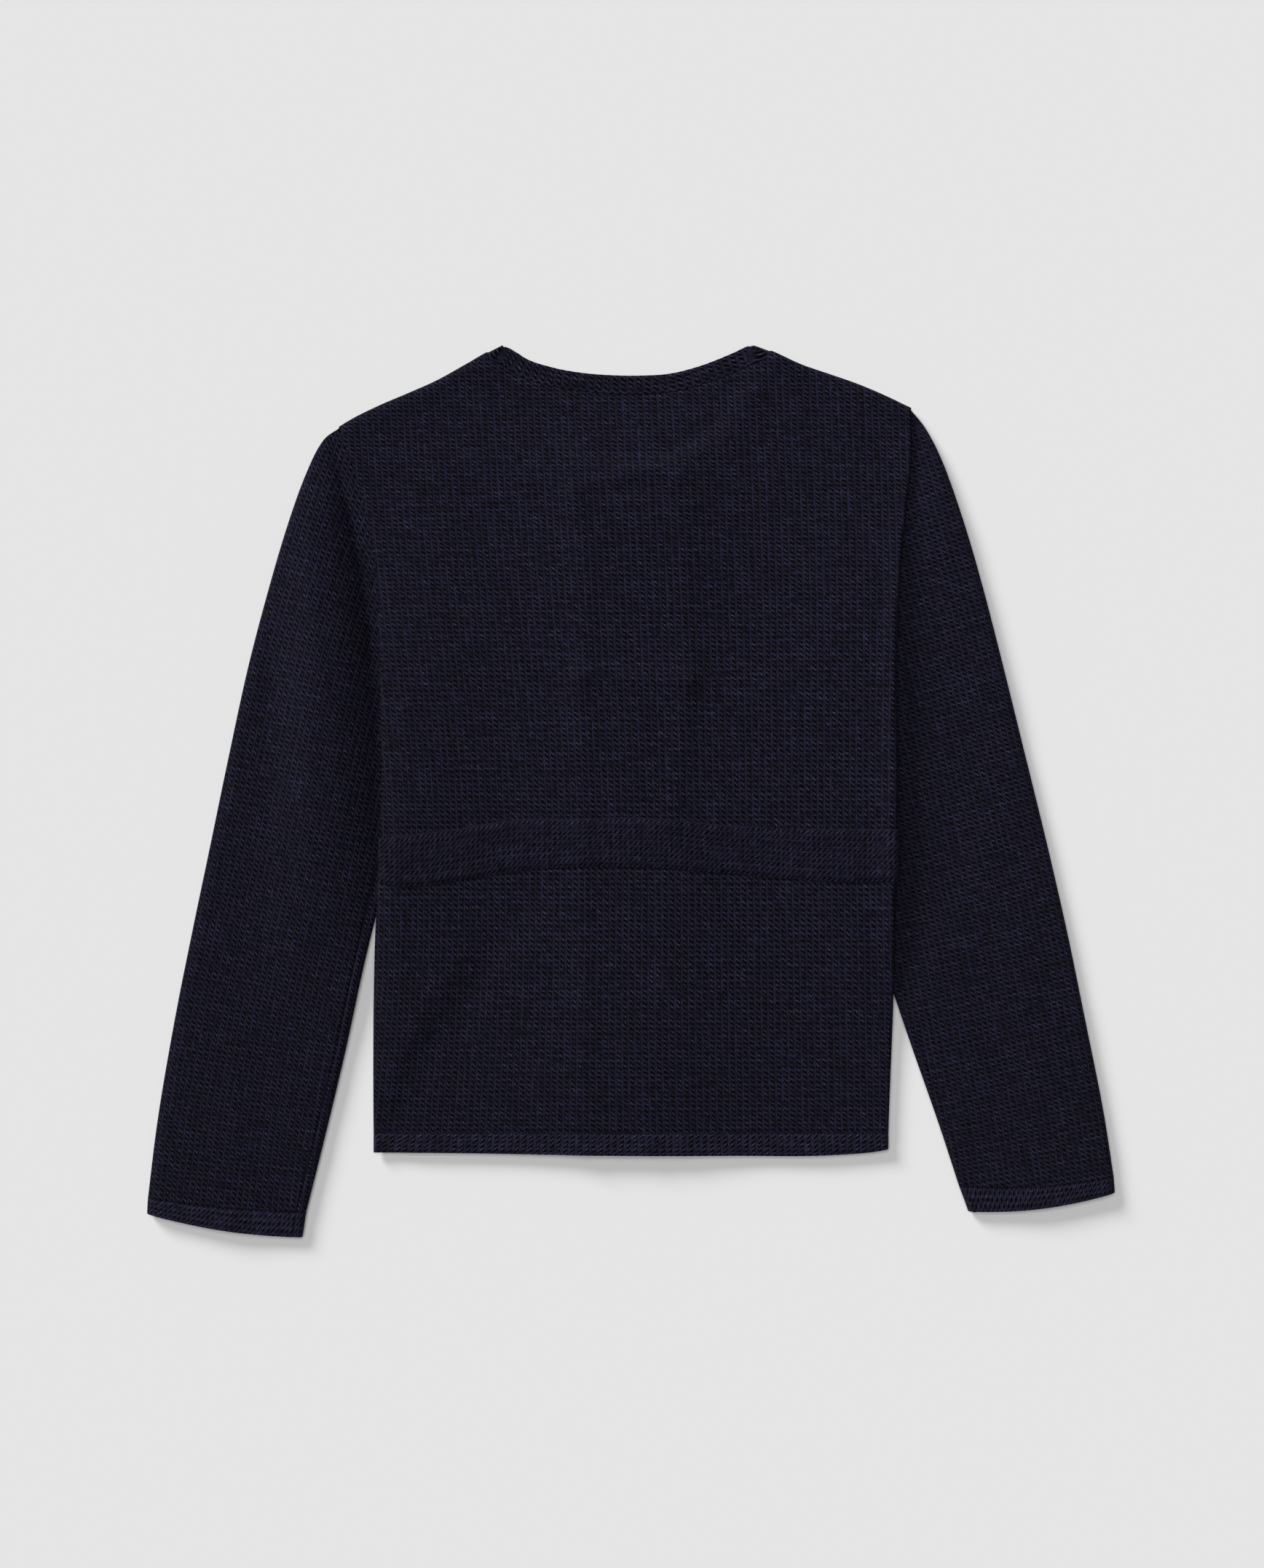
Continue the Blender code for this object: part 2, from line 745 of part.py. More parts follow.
def build_sleeve(side, sections, armhole, cuff_end, home, knit, rib):
    seam = sections[0]
    start = moved(seam, sections[1], SEAM)
    rings = [ring(s, armhole) for s in refine((start, *sections[1:]), 2)]
    sheet(f"sleeve_{side}", rings, home, knit, closed=True)
    cuff_start = moved(seam, cuff_end, SEAM)
    cuff_rings = [ring(s, armhole) for s in (cuff_end, cuff_start)]
    sheet(f"cuff_{side}", cuff_rings, home, rib, closed=True)


# Belt and buttons


def build_belt(home, mat):
    """The back's own points between the belt's edges, moved out by a layer."""
    columns = [c for c in body_columns(True) if c.kind != "fold" or c.value is BENDS[0]]
    rise = LAYER + BELT_CLEARANCE
    grid = []
    for share in (0.0, 0.5, 1.0):
        line = []
        for column in columns:
            x, _ = grid_point(column, Row("level", -35.0))
            low, high = (
                along([Top(row.x, edge) for row, edge in zip(BELT, edges)], "x", x)
                for edges in ([row.low for row in BELT], [row.high for row in BELT])
            )
            y = low + share * (high - low)
            x, _ = grid_point(column, Row("level", y))
            line.append((x, y, back_z(x, y) + rise))
        line = [belt_tip(line[0], -1)] + line + [belt_tip(line[-1], 1)]
        grid.append(line)
    return sheet("belt", grid, home, mat)


def belt_tip(point, side):
    """The belt's end, turned down with the side fold to its seam."""
    radius = FOLD + LAYER + BELT_CLEARANCE
    turn = radians(26.0)
    x, y, z = point
    return x + side * radius * sin(turn), y, z - radius * (1.0 - cos(turn))


def build_button(name, x, y, home, mat):
    """A plain round button with a raised rim, lying on its face."""
    radius = BUTTON_RADIUS
    profile = (
        (0.0, BUTTON_HEIGHT),
        (radius, BUTTON_HEIGHT),
        (radius, 0.5),
        (radius - 1.6, 0.0),
        (radius - 2.4, 0.6),
        (0.0, 0.6),
    )
    bm = bmesh.new()
    verts = [bm.verts.new(place((r, 0.0, z))) for r, z in profile]
    for a, b in zip(verts, verts[1:]):
        bm.edges.new((a, b))
    obj = add_object(name, bm, home, mat)
    obj.location = place((x, y, 0.0))
    turned = obj.modifiers.new("Turned", "SCREW")
    turned.steps = 14
    turned.render_steps = 14
    turned.use_merge_vertices = True
    turned.merge_threshold = 0.00001
    turned.use_normal_calculate = True
    return obj


def build():
    clear_scene()
    home = new_collection("DoubleBreastedCardigan")
    tools = new_collection("Cutters")

    def cloth(name, colour=NAVY):
        return material(name, colour, 0.95)

    columns = body_columns(True)
    front_columns = body_columns(False)
    outside = [c for c in front_columns if c.kind != "fixed" or abs(c.value) >= OVERLAP]
    left_columns = [c for c in outside if c.side < 0]
    right_columns = [c for c in outside if c.side > 0]
    band_columns = [c for c in columns if c.kind == "fixed" and abs(c.value) <= OVERLAP]
    gap = SEAM / 2
    rows = body_rows(HEM_SEAM_Y + gap, True)
    front_rows = body_rows(HEM_SEAM_Y + gap, False)
    low_front = along(BACK_HEM, "x", 0.0) + FRONT_HEM_RISE
    band_rows = [Row("bottom", low_front)] + [Row("level", float(y)) for y in (HEM_SEAM_Y, *LEVELS)]
    band_rows.append(Row("level", BAND_TOP_Y))
    left_gap, right_gap = {-OVERLAP: -gap}, {OVERLAP: gap}
    left_band_gap, right_band_gap = {-OVERLAP: BAND_GAP}, {OVERLAP: -BAND_GAP}

    front_cutter = neck_cutter("front_neck_cutter", front_neck_ribs(), tools)
    back_cutter = neck_cutter("back_neck_cutter", back_neck_ribs(), tools)

    back = body_sheet("back_panel", columns, rows, back_z, home, cloth("Back"))
    cut(back, back_cutter)
    fronts = (
        ("front_left", left_columns, front_rows, left_front_z, left_gap),
        ("front_right", right_columns, front_rows, right_front_z, right_gap),
        ("band_left", band_columns, band_rows, left_front_z, left_band_gap),
        ("band_right", band_columns, band_rows, right_front_z, right_band_gap),
    )
    for name, its_columns, its_rows, height, shifts in fronts:
        colour = NAVY_RIB if name.startswith("band") else NAVY
        piece = body_sheet(name, its_columns, its_rows, height, home, cloth(name, colour), shifts)
        cut(piece, front_cutter)

    rib = cloth("Hem back", NAVY_RIB)
    hem_sheet("hem_back", columns, back_z, 0.0, home, rib)
    rise = FRONT_HEM_RISE
    rib = cloth("Hem front left", NAVY_RIB)
    hem_sheet("hem_front_left", left_columns, left_front_z, rise, home, rib, left_gap)
    rib = cloth("Hem front right", NAVY_RIB)
    hem_sheet("hem_front_right", right_columns, right_front_z, rise, home, rib, right_gap)

    build_neck_band(home, cloth("Neck band", NAVY_RIB))
    sleeves = (
        ("left", LEFT_SLEEVE, LEFT_ARMHOLE, LEFT_CUFF_END),
        ("right", RIGHT_SLEEVE, RIGHT_ARMHOLE, RIGHT_CUFF_END),
    )
    for side, sections, armhole, cuff_end in sleeves:
        knit, cuff = cloth(f"Sleeve {side}"), cloth(f"Cuff {side}", NAVY_RIB)
        build_sleeve(side, sections, armhole, cuff_end, home, knit, cuff)
    build_belt(home, cloth("Belt", NAVY_RIB))

    for number, row in enumerate(BUTTON_ROWS, start=1):
        for letter, x in (("l", -BUTTON_X), ("r", BUTTON_X)):
            name = f"button_{letter}{number}"
            build_button(name, x, row.y, home, material(name, BUTTON_NAVY, 0.35))


build()
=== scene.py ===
"""The looks of a child's double-breasted cardigan in navy knit, laid flat on its front with the back up.

Lengths are in millimetres until a mesh is made. Each cloth piece is a grid of points on the middle of
its wall, pushed out to its outer face and thickened inwards. Its UV map counts stitches: u numbers the
wales, the lines of stitches that run up the cloth, and v numbers the courses, the rows across it.
"""

from collections import namedtuple
from math import pi, radians

import bmesh
import bpy
import numpy as np
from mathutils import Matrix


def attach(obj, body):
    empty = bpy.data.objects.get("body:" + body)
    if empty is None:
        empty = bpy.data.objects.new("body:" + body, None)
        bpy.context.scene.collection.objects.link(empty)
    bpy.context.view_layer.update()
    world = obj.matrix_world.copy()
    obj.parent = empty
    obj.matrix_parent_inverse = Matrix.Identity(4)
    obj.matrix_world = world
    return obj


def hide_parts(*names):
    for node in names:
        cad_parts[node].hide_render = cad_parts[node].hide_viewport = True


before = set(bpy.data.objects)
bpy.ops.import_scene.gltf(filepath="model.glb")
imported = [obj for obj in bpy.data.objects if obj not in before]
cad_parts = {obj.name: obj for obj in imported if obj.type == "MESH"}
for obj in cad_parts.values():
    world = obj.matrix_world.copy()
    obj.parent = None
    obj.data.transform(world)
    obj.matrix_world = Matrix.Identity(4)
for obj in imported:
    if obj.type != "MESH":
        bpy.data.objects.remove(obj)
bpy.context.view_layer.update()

METRES = 0.001  # one millimetre


def rows_of(kind, *rows):
    """A table of named tuples."""
    return tuple(kind(*row) for row in rows)


# Cloth
WALL = 2.2  # thickness of the knitted cloth
HALF = WALL / 2
LAYER = 2.8  # from the middle of one layer to the middle of the next
SEAM = 0.3  # gap between two pieces that are sewn together
FOLD = 4.0  # outer radius of the soft fold along the shoulders
LOFT = 2.0  # how much higher the back lies than two layers pressed flat
PUFF = 2 * FOLD - (LAYER + WALL + LOFT)  # how far a soft fold holds the back up
PUFF_REACH = 13.0  # and how far in from the fold that is felt
LEFT_FOLD, RIGHT_FOLD = 4.5, 2.2  # how far in the side folds reach in plan
LEFT_REACH, RIGHT_REACH = (2.0, 12.0), (1.5, 12.0)
BELT_PRESS = 0.8
BELT_HOLLOW = 0.7
BUTTON_RISE = 1.1

# Ribs
NECK_RIB = 10.4
NECK_INSET = 1.2  # from the neck point to where the rib's free edge starts to turn down
HEM_SEAM_Y = -195.6
FRONT_HEM_RISE = 1.0

# The flat size of each piece, all round where it is a tube, and its area in square metres where it
# is not a rectangle
Cut = namedtuple("Cut", "width length area")

# Closure
OVERLAP = 30.0  # half the overlap of the fronts
OVERLAP_FOOT = 46.0
BAND_TOP_Y = 191.0
BUTTON_RADIUS = 8.0
BUTTON_HEIGHT = 2.6
BUTTON_X = 18.0
BUTTON_LIFT = BUTTON_HEIGHT + SEAM
ButtonRow = namedtuple("ButtonRow", "y foot_low crest_low crest_high foot_high")
BUTTON_ROWS = rows_of(
    ButtonRow,
    (158, 132, 149, 167, 184), (60, 34, 51, 69, 86), (-38, -85, -61, -9, 15),
    (-136, -162, -145, -127, -110),
)

# Outlines of the body
Edge = namedtuple("Edge", "y x")
LEFT_SIDE = rows_of(
    Edge,
    (-208, -147.3), (-113, -146.9), (-71, -145.6), (-50, -144.2), (-24, -142.4), (0, -142.2),
    (52, -143.1), (91, -144), (121, -145.6), (149, -149.8), (175, -156), (190, -161),
    (208.5, -167.7),
)
RIGHT_SIDE = rows_of(
    Edge,
    (-208, 147), (-197, 147.3), (-163, 148.5), (-130, 149.8), (-50, 150.8), (-12, 151.9),
    (91, 151.9), (126, 154), (160, 157.3), (190, 160.6), (219.6, 160.5),
)
Top = namedtuple("Top", "x y")
LEFT_SHOULDER = rows_of(
    Top,
    (-167.7, 208.5), (-161, 212.7), (-144.4, 221), (-127.7, 228.1), (-111, 235.6), (-94.4, 244.8),
    (-77.7, 254), (-73.5, 255.6),
)
RIGHT_SHOULDER = rows_of(
    Top,
    (70.2, 255.6), (80.6, 252.3), (97.3, 244.8), (114, 239), (130.6, 233.1), (147.3, 226),
    (160.5, 219.6),
)
BACK_HEM = rows_of(
    Top,
    (-147.3, -206.9), (-94, -207.3), (-27, -208.4), (55, -208.7), (114, -208.4), (139, -206.5),
    (147, -205.2),
)
NECK_POINTS = (Top(-73.5, 255.6), Top(70.2, 255.6))
BACK_NECK = rows_of(
    Top,
    (-70.4, 254), (-67.4, 252.4), (-64.2, 250.5), (-61, 248.4), (-44.4, 242.7), (-27.7, 239.8),
    (-11, 238.5), (6, 238.3), (22.3, 239.4), (39, 243.5), (55.6, 249.8), (60.6, 252), (64, 253.7),
    (67.2, 254.8),
)
FRONT_NECK_DEPTH = 68.6

# How far the sides hold the back up: a soft roll at the left, a raised ridge at the right
Puff = namedtuple("Puff", "y rise")
LEFT_PUFF = rows_of(
    Puff,
    (-208, -1), (80, -1), (110, -0.6), (150, -0.2), (195, 1.4), (220, 1.4),
)
RIGHT_PUFF = rows_of(
    Puff,
    (-208, 0.2), (-150, 0.2), (-60, 4.2), (80, 5.2), (110, 3.8), (150, 2.4), (195, 1.4), (220, 1.4),
)

# Where a sleeve beneath lifts the body: inner is the sleeve's free inner edge, which the limits follow
LIFT = 5.9
LIFT_MARGIN = 14.0
LIFT_REACH = 26.0
BACK_LIFT_REACH = (2.0, 74.0)  # the back comes down more gently than the fronts
LEFT_INNER = rows_of(
    Edge,
    (-147, -163), (-100, -153), (-58, -142.9), (-20, -134.2), (12, -126.4),
)
LEFT_BACK_LIMIT = LEFT_INNER + rows_of(
    Edge,
    (40, -120), (70, -117), (100, -121), (130, -129), (165, -141), (208, -158),
)
RIGHT_INNER = rows_of(
    Edge,
    (-147, 161), (-105, 147), (-63.5, 134.8), (-25, 125.7), (8, 118.8),
)
RIGHT_BACK_LIMIT = RIGHT_INNER + rows_of(
    Edge,
    (35, 116), (65, 116), (100, 121), (130, 130), (165, 142), (219, 158),
)
BACK_LEAVES = (60.0, 200.0)
BACK_LANDS = (-150.0, -60.0)
LEFT_SLEEVE_LIMIT = LEFT_INNER + rows_of(
    Edge,
    (34, -121), (57, -115.2), (65, -126), (80, -138), (95, -144.3),
)
RIGHT_SLEEVE_LIMIT = RIGHT_INNER + rows_of(
    Edge,
    (30, 115.3), (50, 113), (60, 128), (78, 144), (95, 152.2),
)
SIDE_OPENS = (88.0, 104.0)  # between these the side fold turns into the armhole seam
SLEEVE_LEAVES = (104.0, 132.0)
LEFT_LANDS = (-130.0, -90.0)
RIGHT_LANDS = (-170.0, -130.0)

# Sleeves: one row a section, from the cuff seam to the armhole
Section = namedtuple("Section", "outer_x outer_y inner_x inner_y sag mouth")
LEFT_SLEEVE = rows_of(
    Section,
    (-276.4, -232.3, -185.8, -240.2, 1.8, 0), (-270.4, -185, -174.8, -196, 0, 0),
    (-261, -130.2, -163.1, -146.9, 0, 0), (-251, -80, -153, -100, 0, 0),
    (-240.6, -30.2, -142.9, -58, 0, 0), (-230.2, 20, -134.2, -20, 0, 0),
    (-219.4, 69.8, -126.4, 12, 0, 0.2), (-207.6, 115, -121, 34, 0, 0.4),
    (-196.6, 152, -118, 45, 0, 0.6), (-185.9, 182, -116.3, 51.5, 0, 0.8),
    (-176.5, 200.5, -115.6, 55.5, 0, 0.93), (-166.8, 208.2, -115.2, 57.3, 0, 1),
)
LEFT_ARMHOLE = rows_of(
    Top,
    (-166.8, 208.2), (-164, 203), (-160.4, 194), (-154.2, 175), (-147.8, 149), (-143.8, 121),
    (-142.6, 100), (-138, 80), (-126, 65), (-115.2, 57.3),
)
LEFT_CUFF_END = Section(-276.9, -241.5, -188.1, -255.0, 2.8, 0.0)
RIGHT_SLEEVE = rows_of(
    Section,
    (276.2, -220.2, 187.6, -225.2, 3.2, 0), (269.8, -180, 176.1, -190, 0, 0),
    (259.8, -130.2, 161, -146.9, 0, 0), (249.5, -80, 147, -105, 0, 0),
    (238.1, -30.2, 134.8, -63.5, 0, 0), (225.8, 20, 125.7, -25, 0, 0),
    (213.5, 69.8, 118.8, 8, 0, 0.2), (201.9, 115, 115.3, 28, 0, 0.4),
    (191.2, 152, 114, 38.5, 0, 0.6), (179.4, 186, 113.4, 44.5, 0, 0.8),
    (169.4, 206.5, 113.1, 48.2, 0, 0.93), (159.8, 218.9, 113, 50, 0, 1),
)
RIGHT_ARMHOLE = rows_of(
    Top,
    (159.8, 218.9), (159.4, 210), (158.9, 194), (155.5, 160), (152.2, 126), (150.4, 100), (144, 78),
    (128, 60), (113, 50),
)
RIGHT_CUFF_END = Section(276.9, -229.4, 193.1, -240.2, 3.6, 0.0)

# Half belt
Belt = namedtuple("Belt", "x low high")
BELT = rows_of(
    Belt,
    (-145, -51.5, -26.5), (-131.9, -54, -25.2), (-98.5, -50.6, -21), (-65.2, -45.3, -16),
    (-27, -42.7, -15.2), (14, -43.5, -15.2), (58.5, -46.9, -19.4), (91.9, -49.8, -21),
    (125.6, -51.4, -21), (152, -51, -21.5),
)

# Soft relief of the back: what lies beneath shows through. Heights and widths of ridges, and the
# lines they follow (a negative height is a trough).
Relief = namedtuple("Relief", "height width points")
BACK_RELIEF = rows_of(
    Relief,
    (0.8, 3.5, ((80.6, 244.8), (55.6, 203.1), (26.5, 184.4), (1.5, 181.5), (-34, 171.9))),
    (0.9, 3.5, ((-34, 171), (-25.6, 136), (-25.6, 78), (-27.7, 66.9), (-25.6, -190))),
    (0.7, 3.5, ((24.4, 178), (34.8, 119.8), (32.7, 63.5), (20.2, -26), (18.1, -100), (9.8, -200))),
    (0.6, 3.5, ((-34, 171.9), (1.5, 181.5), (26.5, 184.4))),
    (1.0, 4.0, ((-27.7, 66.9), (32.7, 63.5))),
    (-1.2, 6.0, ((-140.2, -196.9), (-115.2, -142.7), (-88.1, -105.2), (-63.1, -63.5))),
    (2.2, 4.0, ((-34, 171), (-31, 160))),
    (1.7, 4.0, ((26.5, 178), (26.6, 178.1))),
    (0.7, 4.5, ((34.8, 117.7), (34.9, 117.8))),
    (1.4, 4.0, ((-27.7, 66.9), (-27.6, 67))),
    (1.4, 4.0, ((32.7, 63.5), (32.8, 63.6))),
    (0.6, 4.5, ((20.2, -24), (20.3, -24.1))),
)
CORNER_CREASE = ((-140.2, -196.9), (-63.1, -63.5))  # the cloth stands higher on its left
CORNER_RISE = 3.6

# The upper face of a sleeve: a hollow beside the body, then a soft crest. Each row: y, the x where the
# hollow ends, the x of the crest, and the crest's height.
Swell = namedtuple("Swell", "y hollow crest height")
HOLLOW = 4.8
LEFT_SWELL = rows_of(
    Swell,
    (-260, -165, -206, 7.2), (-190, -160, -204, 7.2), (-151, -157, -203, 7.6),
    (-89, -150, -186, 10.8), (-40, -145.5, -182, 14.8), (-5, -144, -181, 18.2),
    (36, -145.5, -180, 20), (78, -148.5, -178, 20.4), (120, -153.5, -180, 19),
    (161, -161.5, -181, 15.2), (190, -168.5, -178, 8), (215, -172, -176, 5.5),
)
RIGHT_SWELL = rows_of(
    Swell,
    (-260, 165, 206, 7.2), (-151, 158, 204, 7.2), (-89, 158, 200, 7.4), (-40, 170, 214, 8.2),
    (-5, 182, 220, 8.6), (36, 182, 214, 9), (78, 176, 206, 9.2), (120, 168, 192, 9.2),
    (161, 163, 179, 8.6), (190, 164, 171, 7), (225, 163, 167, 5.5),
)
SEAM_IN, SEAM_GROOVE = 5.2, 0.9  # the underarm seam, in from the sleeve's inner edge, and its depth

# How the knitting runs on the back. lean is the wales' angle from upright at the left, the middle and
# the right, and course the height of a row of stitches.
Knit = namedtuple("Knit", "y left middle right course")
BACK_KNIT = rows_of(
    Knit,
    (-215, 6.5, -1, -1, 2.70), (-155, 6.5, -1, -1, 2.77), (-90, 1.5, 0.5, -1.5, 2.98),
    (-35, -2, -1, -0.5, 2.95), (70, -8, -2.5, 1, 2.80), (200, -4, -3, -2, 2.48),
    (260, -4, -3, -2, 2.45),
)
WALE_LEFT, WALE_MIDDLE, WALE_RIGHT = 3.42, 3.88, 3.65  # widths of a wale
SLEEVE_WALE = 3.42
SLEEVE_COURSE = 2.8
NECK_RIB_PITCH = 4.5
HEM_RIB_PITCH = 3.96
CUFF_RIB_PITCH = 2.7
BELT_RIBS = 9


# Small maths


def clamp(value):
    return np.clip(value, 0.0, 1.0)


def ramp(value, full, none):
    """1 where value is full or before it, 0 where it is none or past it, and straight between."""
    return 1.0 - clamp((value - full) / (none - full))


def soft_ramp(value, full, none):
    t = ramp(value, full, none)
    return t * t * (3.0 - 2.0 * t)


def smooth(points):
    """A smooth curve through (key, value) pairs, as a function of the key."""
    keys, values = np.array(points, float).T
    slopes = np.gradient(values, keys)

    def read(at):
        at = np.clip(at, keys[0], keys[-1])
        i = np.clip(np.searchsorted(keys, at, side="right") - 1, 0, len(keys) - 2)
        span = keys[i + 1] - keys[i]
        t = (at - keys[i]) / span
        start = values[i] * (1 + 2 * t) * (1 - t) ** 2 + slopes[i] * span * t * (1 - t) ** 2
        end = values[i + 1] * t * t * (3 - 2 * t) - slopes[i + 1] * span * t * t * (1 - t)
        return start + end

    return read


def smooth_columns(keys, rows, at):
    """The columns of some rows, each on a smooth curve over the keys."""
    return [smooth(np.column_stack([keys, column]))(at) for column in np.array(rows, float).T]


def curve(table, key, value):
    """The smooth curve of one of a table's columns over another."""
    return smooth([(getattr(row, key), getattr(row, value)) for row in table])


left_side = smooth(LEFT_SIDE)
right_side = smooth(RIGHT_SIDE)
left_shoulder = smooth(LEFT_SHOULDER)
right_shoulder = smooth(RIGHT_SHOULDER)
back_hem = smooth(BACK_HEM)
left_limit = smooth(LEFT_SLEEVE_LIMIT)
right_limit = smooth(RIGHT_SLEEVE_LIMIT)
left_back_limit = smooth(LEFT_BACK_LIMIT)
right_back_limit = smooth(RIGHT_BACK_LIMIT)


def shoulder_y(x):
    return np.where(x < 0, left_shoulder(x), right_shoulder(x))


def shoulder_lean(x):
    rise = shoulder_y(x + 4.0) - shoulder_y(x - 4.0)
    return np.hypot(1.0, rise / 8.0)


def to_segment(start, end, x, y):
    """Distance in plan to a segment, and how far along it the nearest place is, as a share."""
    (ax, ay), (bx, by) = start, end
    t = clamp(((x - ax) * (bx - ax) + (y - ay) * (by - ay)) / ((bx - ax) ** 2 + (by - ay) ** 2))
    return np.hypot(x - ax - t * (bx - ax), y - ay - t * (by - ay)), t


def distance_to(points, x, y):
    """Distance in plan to a line of points."""
    return np.min([to_segment(a, b, x, y)[0] for a, b in zip(points, points[1:])], axis=0)


def path_length(points):
    """Length along a line of points, at each of them."""
    return np.concatenate([[0.0], np.cumsum(np.linalg.norm(np.diff(points, axis=0), axis=1))])


def relief(features, x, y):
    total = np.zeros(np.shape(x))
    for feature in features:
        away = distance_to(feature.points, x, y)
        total = total + feature.height * np.exp(-0.5 * (away / feature.width) ** 2)
    return total


def waves(x, y, seed, length, count=7):
    """Gentle unevenness between about -1 and 1, with bumps of about the given length."""
    turn = np.random.default_rng(seed)
    total = np.zeros(np.shape(x))
    for _ in range(count):
        angle, phase = turn.uniform(0, 2 * pi, 2)
        step = 2 * pi / (length * turn.uniform(0.75, 1.4))
        total = total + np.sin((x * np.cos(angle) + y * np.sin(angle)) * step + phase)
    return total / np.sqrt(count)


# Heights of the layers of the body, all of the middle of the wall


def side_fold(y):
    """1 where the side of the body is a fold, 0 where it is the armhole seam."""
    return soft_ramp(y, *SIDE_OPENS)


def back_lift(x, y):
    """How far a sleeve lifts the back, which bridges what lies beneath it."""
    over = LIFT * soft_ramp(y, *BACK_LEAVES) * (1.0 - soft_ramp(y, *BACK_LANDS))
    left = soft_ramp(x - left_back_limit(y), *BACK_LIFT_REACH)
    right = soft_ramp(right_back_limit(y) - x, *BACK_LIFT_REACH)
    return over * np.maximum(left, right)


def sleeve_lift(x, y):
    over = LIFT * soft_ramp(y, *SLEEVE_LEAVES)
    left = np.where(y < 95.0, x - left_limit(y), x - left_side(y))
    right = np.where(y < 95.0, right_limit(y) - x, right_side(y) - x)
    span = (LIFT_MARGIN, LIFT_MARGIN + LIFT_REACH)
    left_share = soft_ramp(left, *span) * (1.0 - soft_ramp(y, *LEFT_LANDS))
    right_share = soft_ramp(right, *span) * (1.0 - soft_ramp(y, *RIGHT_LANDS))
    return over * np.maximum(left_share, right_share)


def button_lift(x, y):
    rows = [
        np.minimum(
            soft_ramp(-y, -row.crest_low, -row.foot_low), soft_ramp(y, row.crest_high, row.foot_high)
        )
        for row in BUTTON_ROWS
    ]
    return BUTTON_LIFT * np.max(rows, axis=0) * soft_ramp(abs(x), OVERLAP, OVERLAP_FOOT)


def left_front_z(x, y):
    return HALF + sleeve_lift(x, y) + button_lift(x, y)


def right_front_z(x, y):
    return left_front_z(x, y) + LAYER * ramp(x, OVERLAP, OVERLAP_FOOT)


def neck_sag(x, y):
    """1 in the neck, where nothing lies beneath, and a step at the front neckline."""
    left, right = NECK_POINTS
    across = (x - (left.x + right.x) / 2) / ((right.x - left.x) / 2)
    down = (left.y - y) / FRONT_NECK_DEPTH
    away = np.hypot(across, down)
    return 0.5 * soft_ramp(away, 0.40, 0.86) + 0.5 * soft_ramp(away, 0.90, 1.06)


left_puff = smooth(LEFT_PUFF)
right_puff = smooth(RIGHT_PUFF)


def fold_height(side, y):
    """Height of the side fold, as a radius."""
    return (LAYER + WALL + LOFT + np.where(side < 0, left_puff(y), right_puff(y))) / 2


def fold_puff(x, y):
    left = left_puff(y) * soft_ramp(x - left_side(y), *LEFT_REACH)
    right = right_puff(y) * soft_ramp(right_side(y) - x, *RIGHT_REACH)
    near_side = np.where(x < 0, left, right)
    top = (shoulder_y(x) - y) / shoulder_lean(x)
    near_top = PUFF * soft_ramp(top, FOLD, FOLD + PUFF_REACH)
    near_top = near_top * soft_ramp(-abs(x), -84.0, -60.0)
    return np.where(near_top > abs(near_side), near_top, near_side)


def corner_rise(x, y):
    (ax, ay), (bx, by) = CORNER_CREASE
    away = ((bx - ax) * (y - ay) - (by - ay) * (x - ax)) / np.hypot(bx - ax, by - ay)
    return CORNER_RISE * (1.0 - soft_ramp(away, -7.0, 19.0)) * soft_ramp(y, -120.0, -58.0)


def belt_line(x, column):
    return curve(BELT, "x", column)(x)


def belt_press(x, y):
    """1 under the belt, 0 away from it."""
    low, high = belt_line(x, "low"), belt_line(x, "high")
    inside = np.minimum(y - low, high - y)
    return soft_ramp(-inside, -0.5, 1.5)


def button_rise(x, y):
    """Where the two upper rows of buttons push the back up: steep above them, easing off below."""
    rises = [
        soft_ramp(y, row.y + 6.0, row.y + 17.0) * ramp(-y, -row.y, 50.0 - row.y)
        for row in BUTTON_ROWS[:2]
    ]
    return BUTTON_RISE * np.maximum(*rises) * soft_ramp(abs(x), 32.0, 46.0)


def belt_hollow(x, y):
    """The cloth sinks beside the belt's upper edge."""
    return BELT_HOLLOW * np.exp(-0.5 * ((y - belt_line(x, "high") - 3.0) / 2.6) ** 2)


def back_z(x, y):
    overlap = LAYER * (0.5 * soft_ramp(abs(x), 28.0, 76.0) + 0.5 * soft_ramp(abs(x), 26.0, 44.0))
    buttons = BUTTON_LIFT * soft_ramp(abs(x), 28.0, 100.0)
    buttons = buttons * soft_ramp(y, 176.0, 215.0) * soft_ramp(-y, 150.0, 200.0)
    z = HALF + LAYER + LOFT + back_lift(x, y) + overlap + buttons
    z = z + fold_puff(x, y) + relief(BACK_RELIEF, x, y)
    z = z + 0.25 * waves(x, y, 3, 46.0) * soft_ramp(-abs(y), -196.0, -170.0)
    z = z - BELT_PRESS * belt_press(x, y) + corner_rise(x, y)
    z = z + button_rise(x, y) - belt_hollow(x, y)
    low = HALF + 1.4
    return low + (z - low) * (1.0 - neck_sag(x, y))


# Making meshes


def normals(grid, closed=False):
    """Unit normals of a grid of points: across its columns, then up its rows, by the right hand."""
    if closed:
        wide = np.concatenate([grid[:, -2:], grid, grid[:, :2]], axis=1)
        across = np.gradient(wide, axis=1)[:, 2:-2]
    else:
        across = np.gradient(grid, axis=1)
    up = np.gradient(grid, axis=0)
    found = np.cross(across, up)
    return found / np.maximum(np.linalg.norm(found, axis=2, keepdims=True), 1e-9)


def raised(grid, height, closed=False):
    """The grid moved out along its normals."""
    return grid + normals(grid, closed) * np.asarray(height)[..., None]


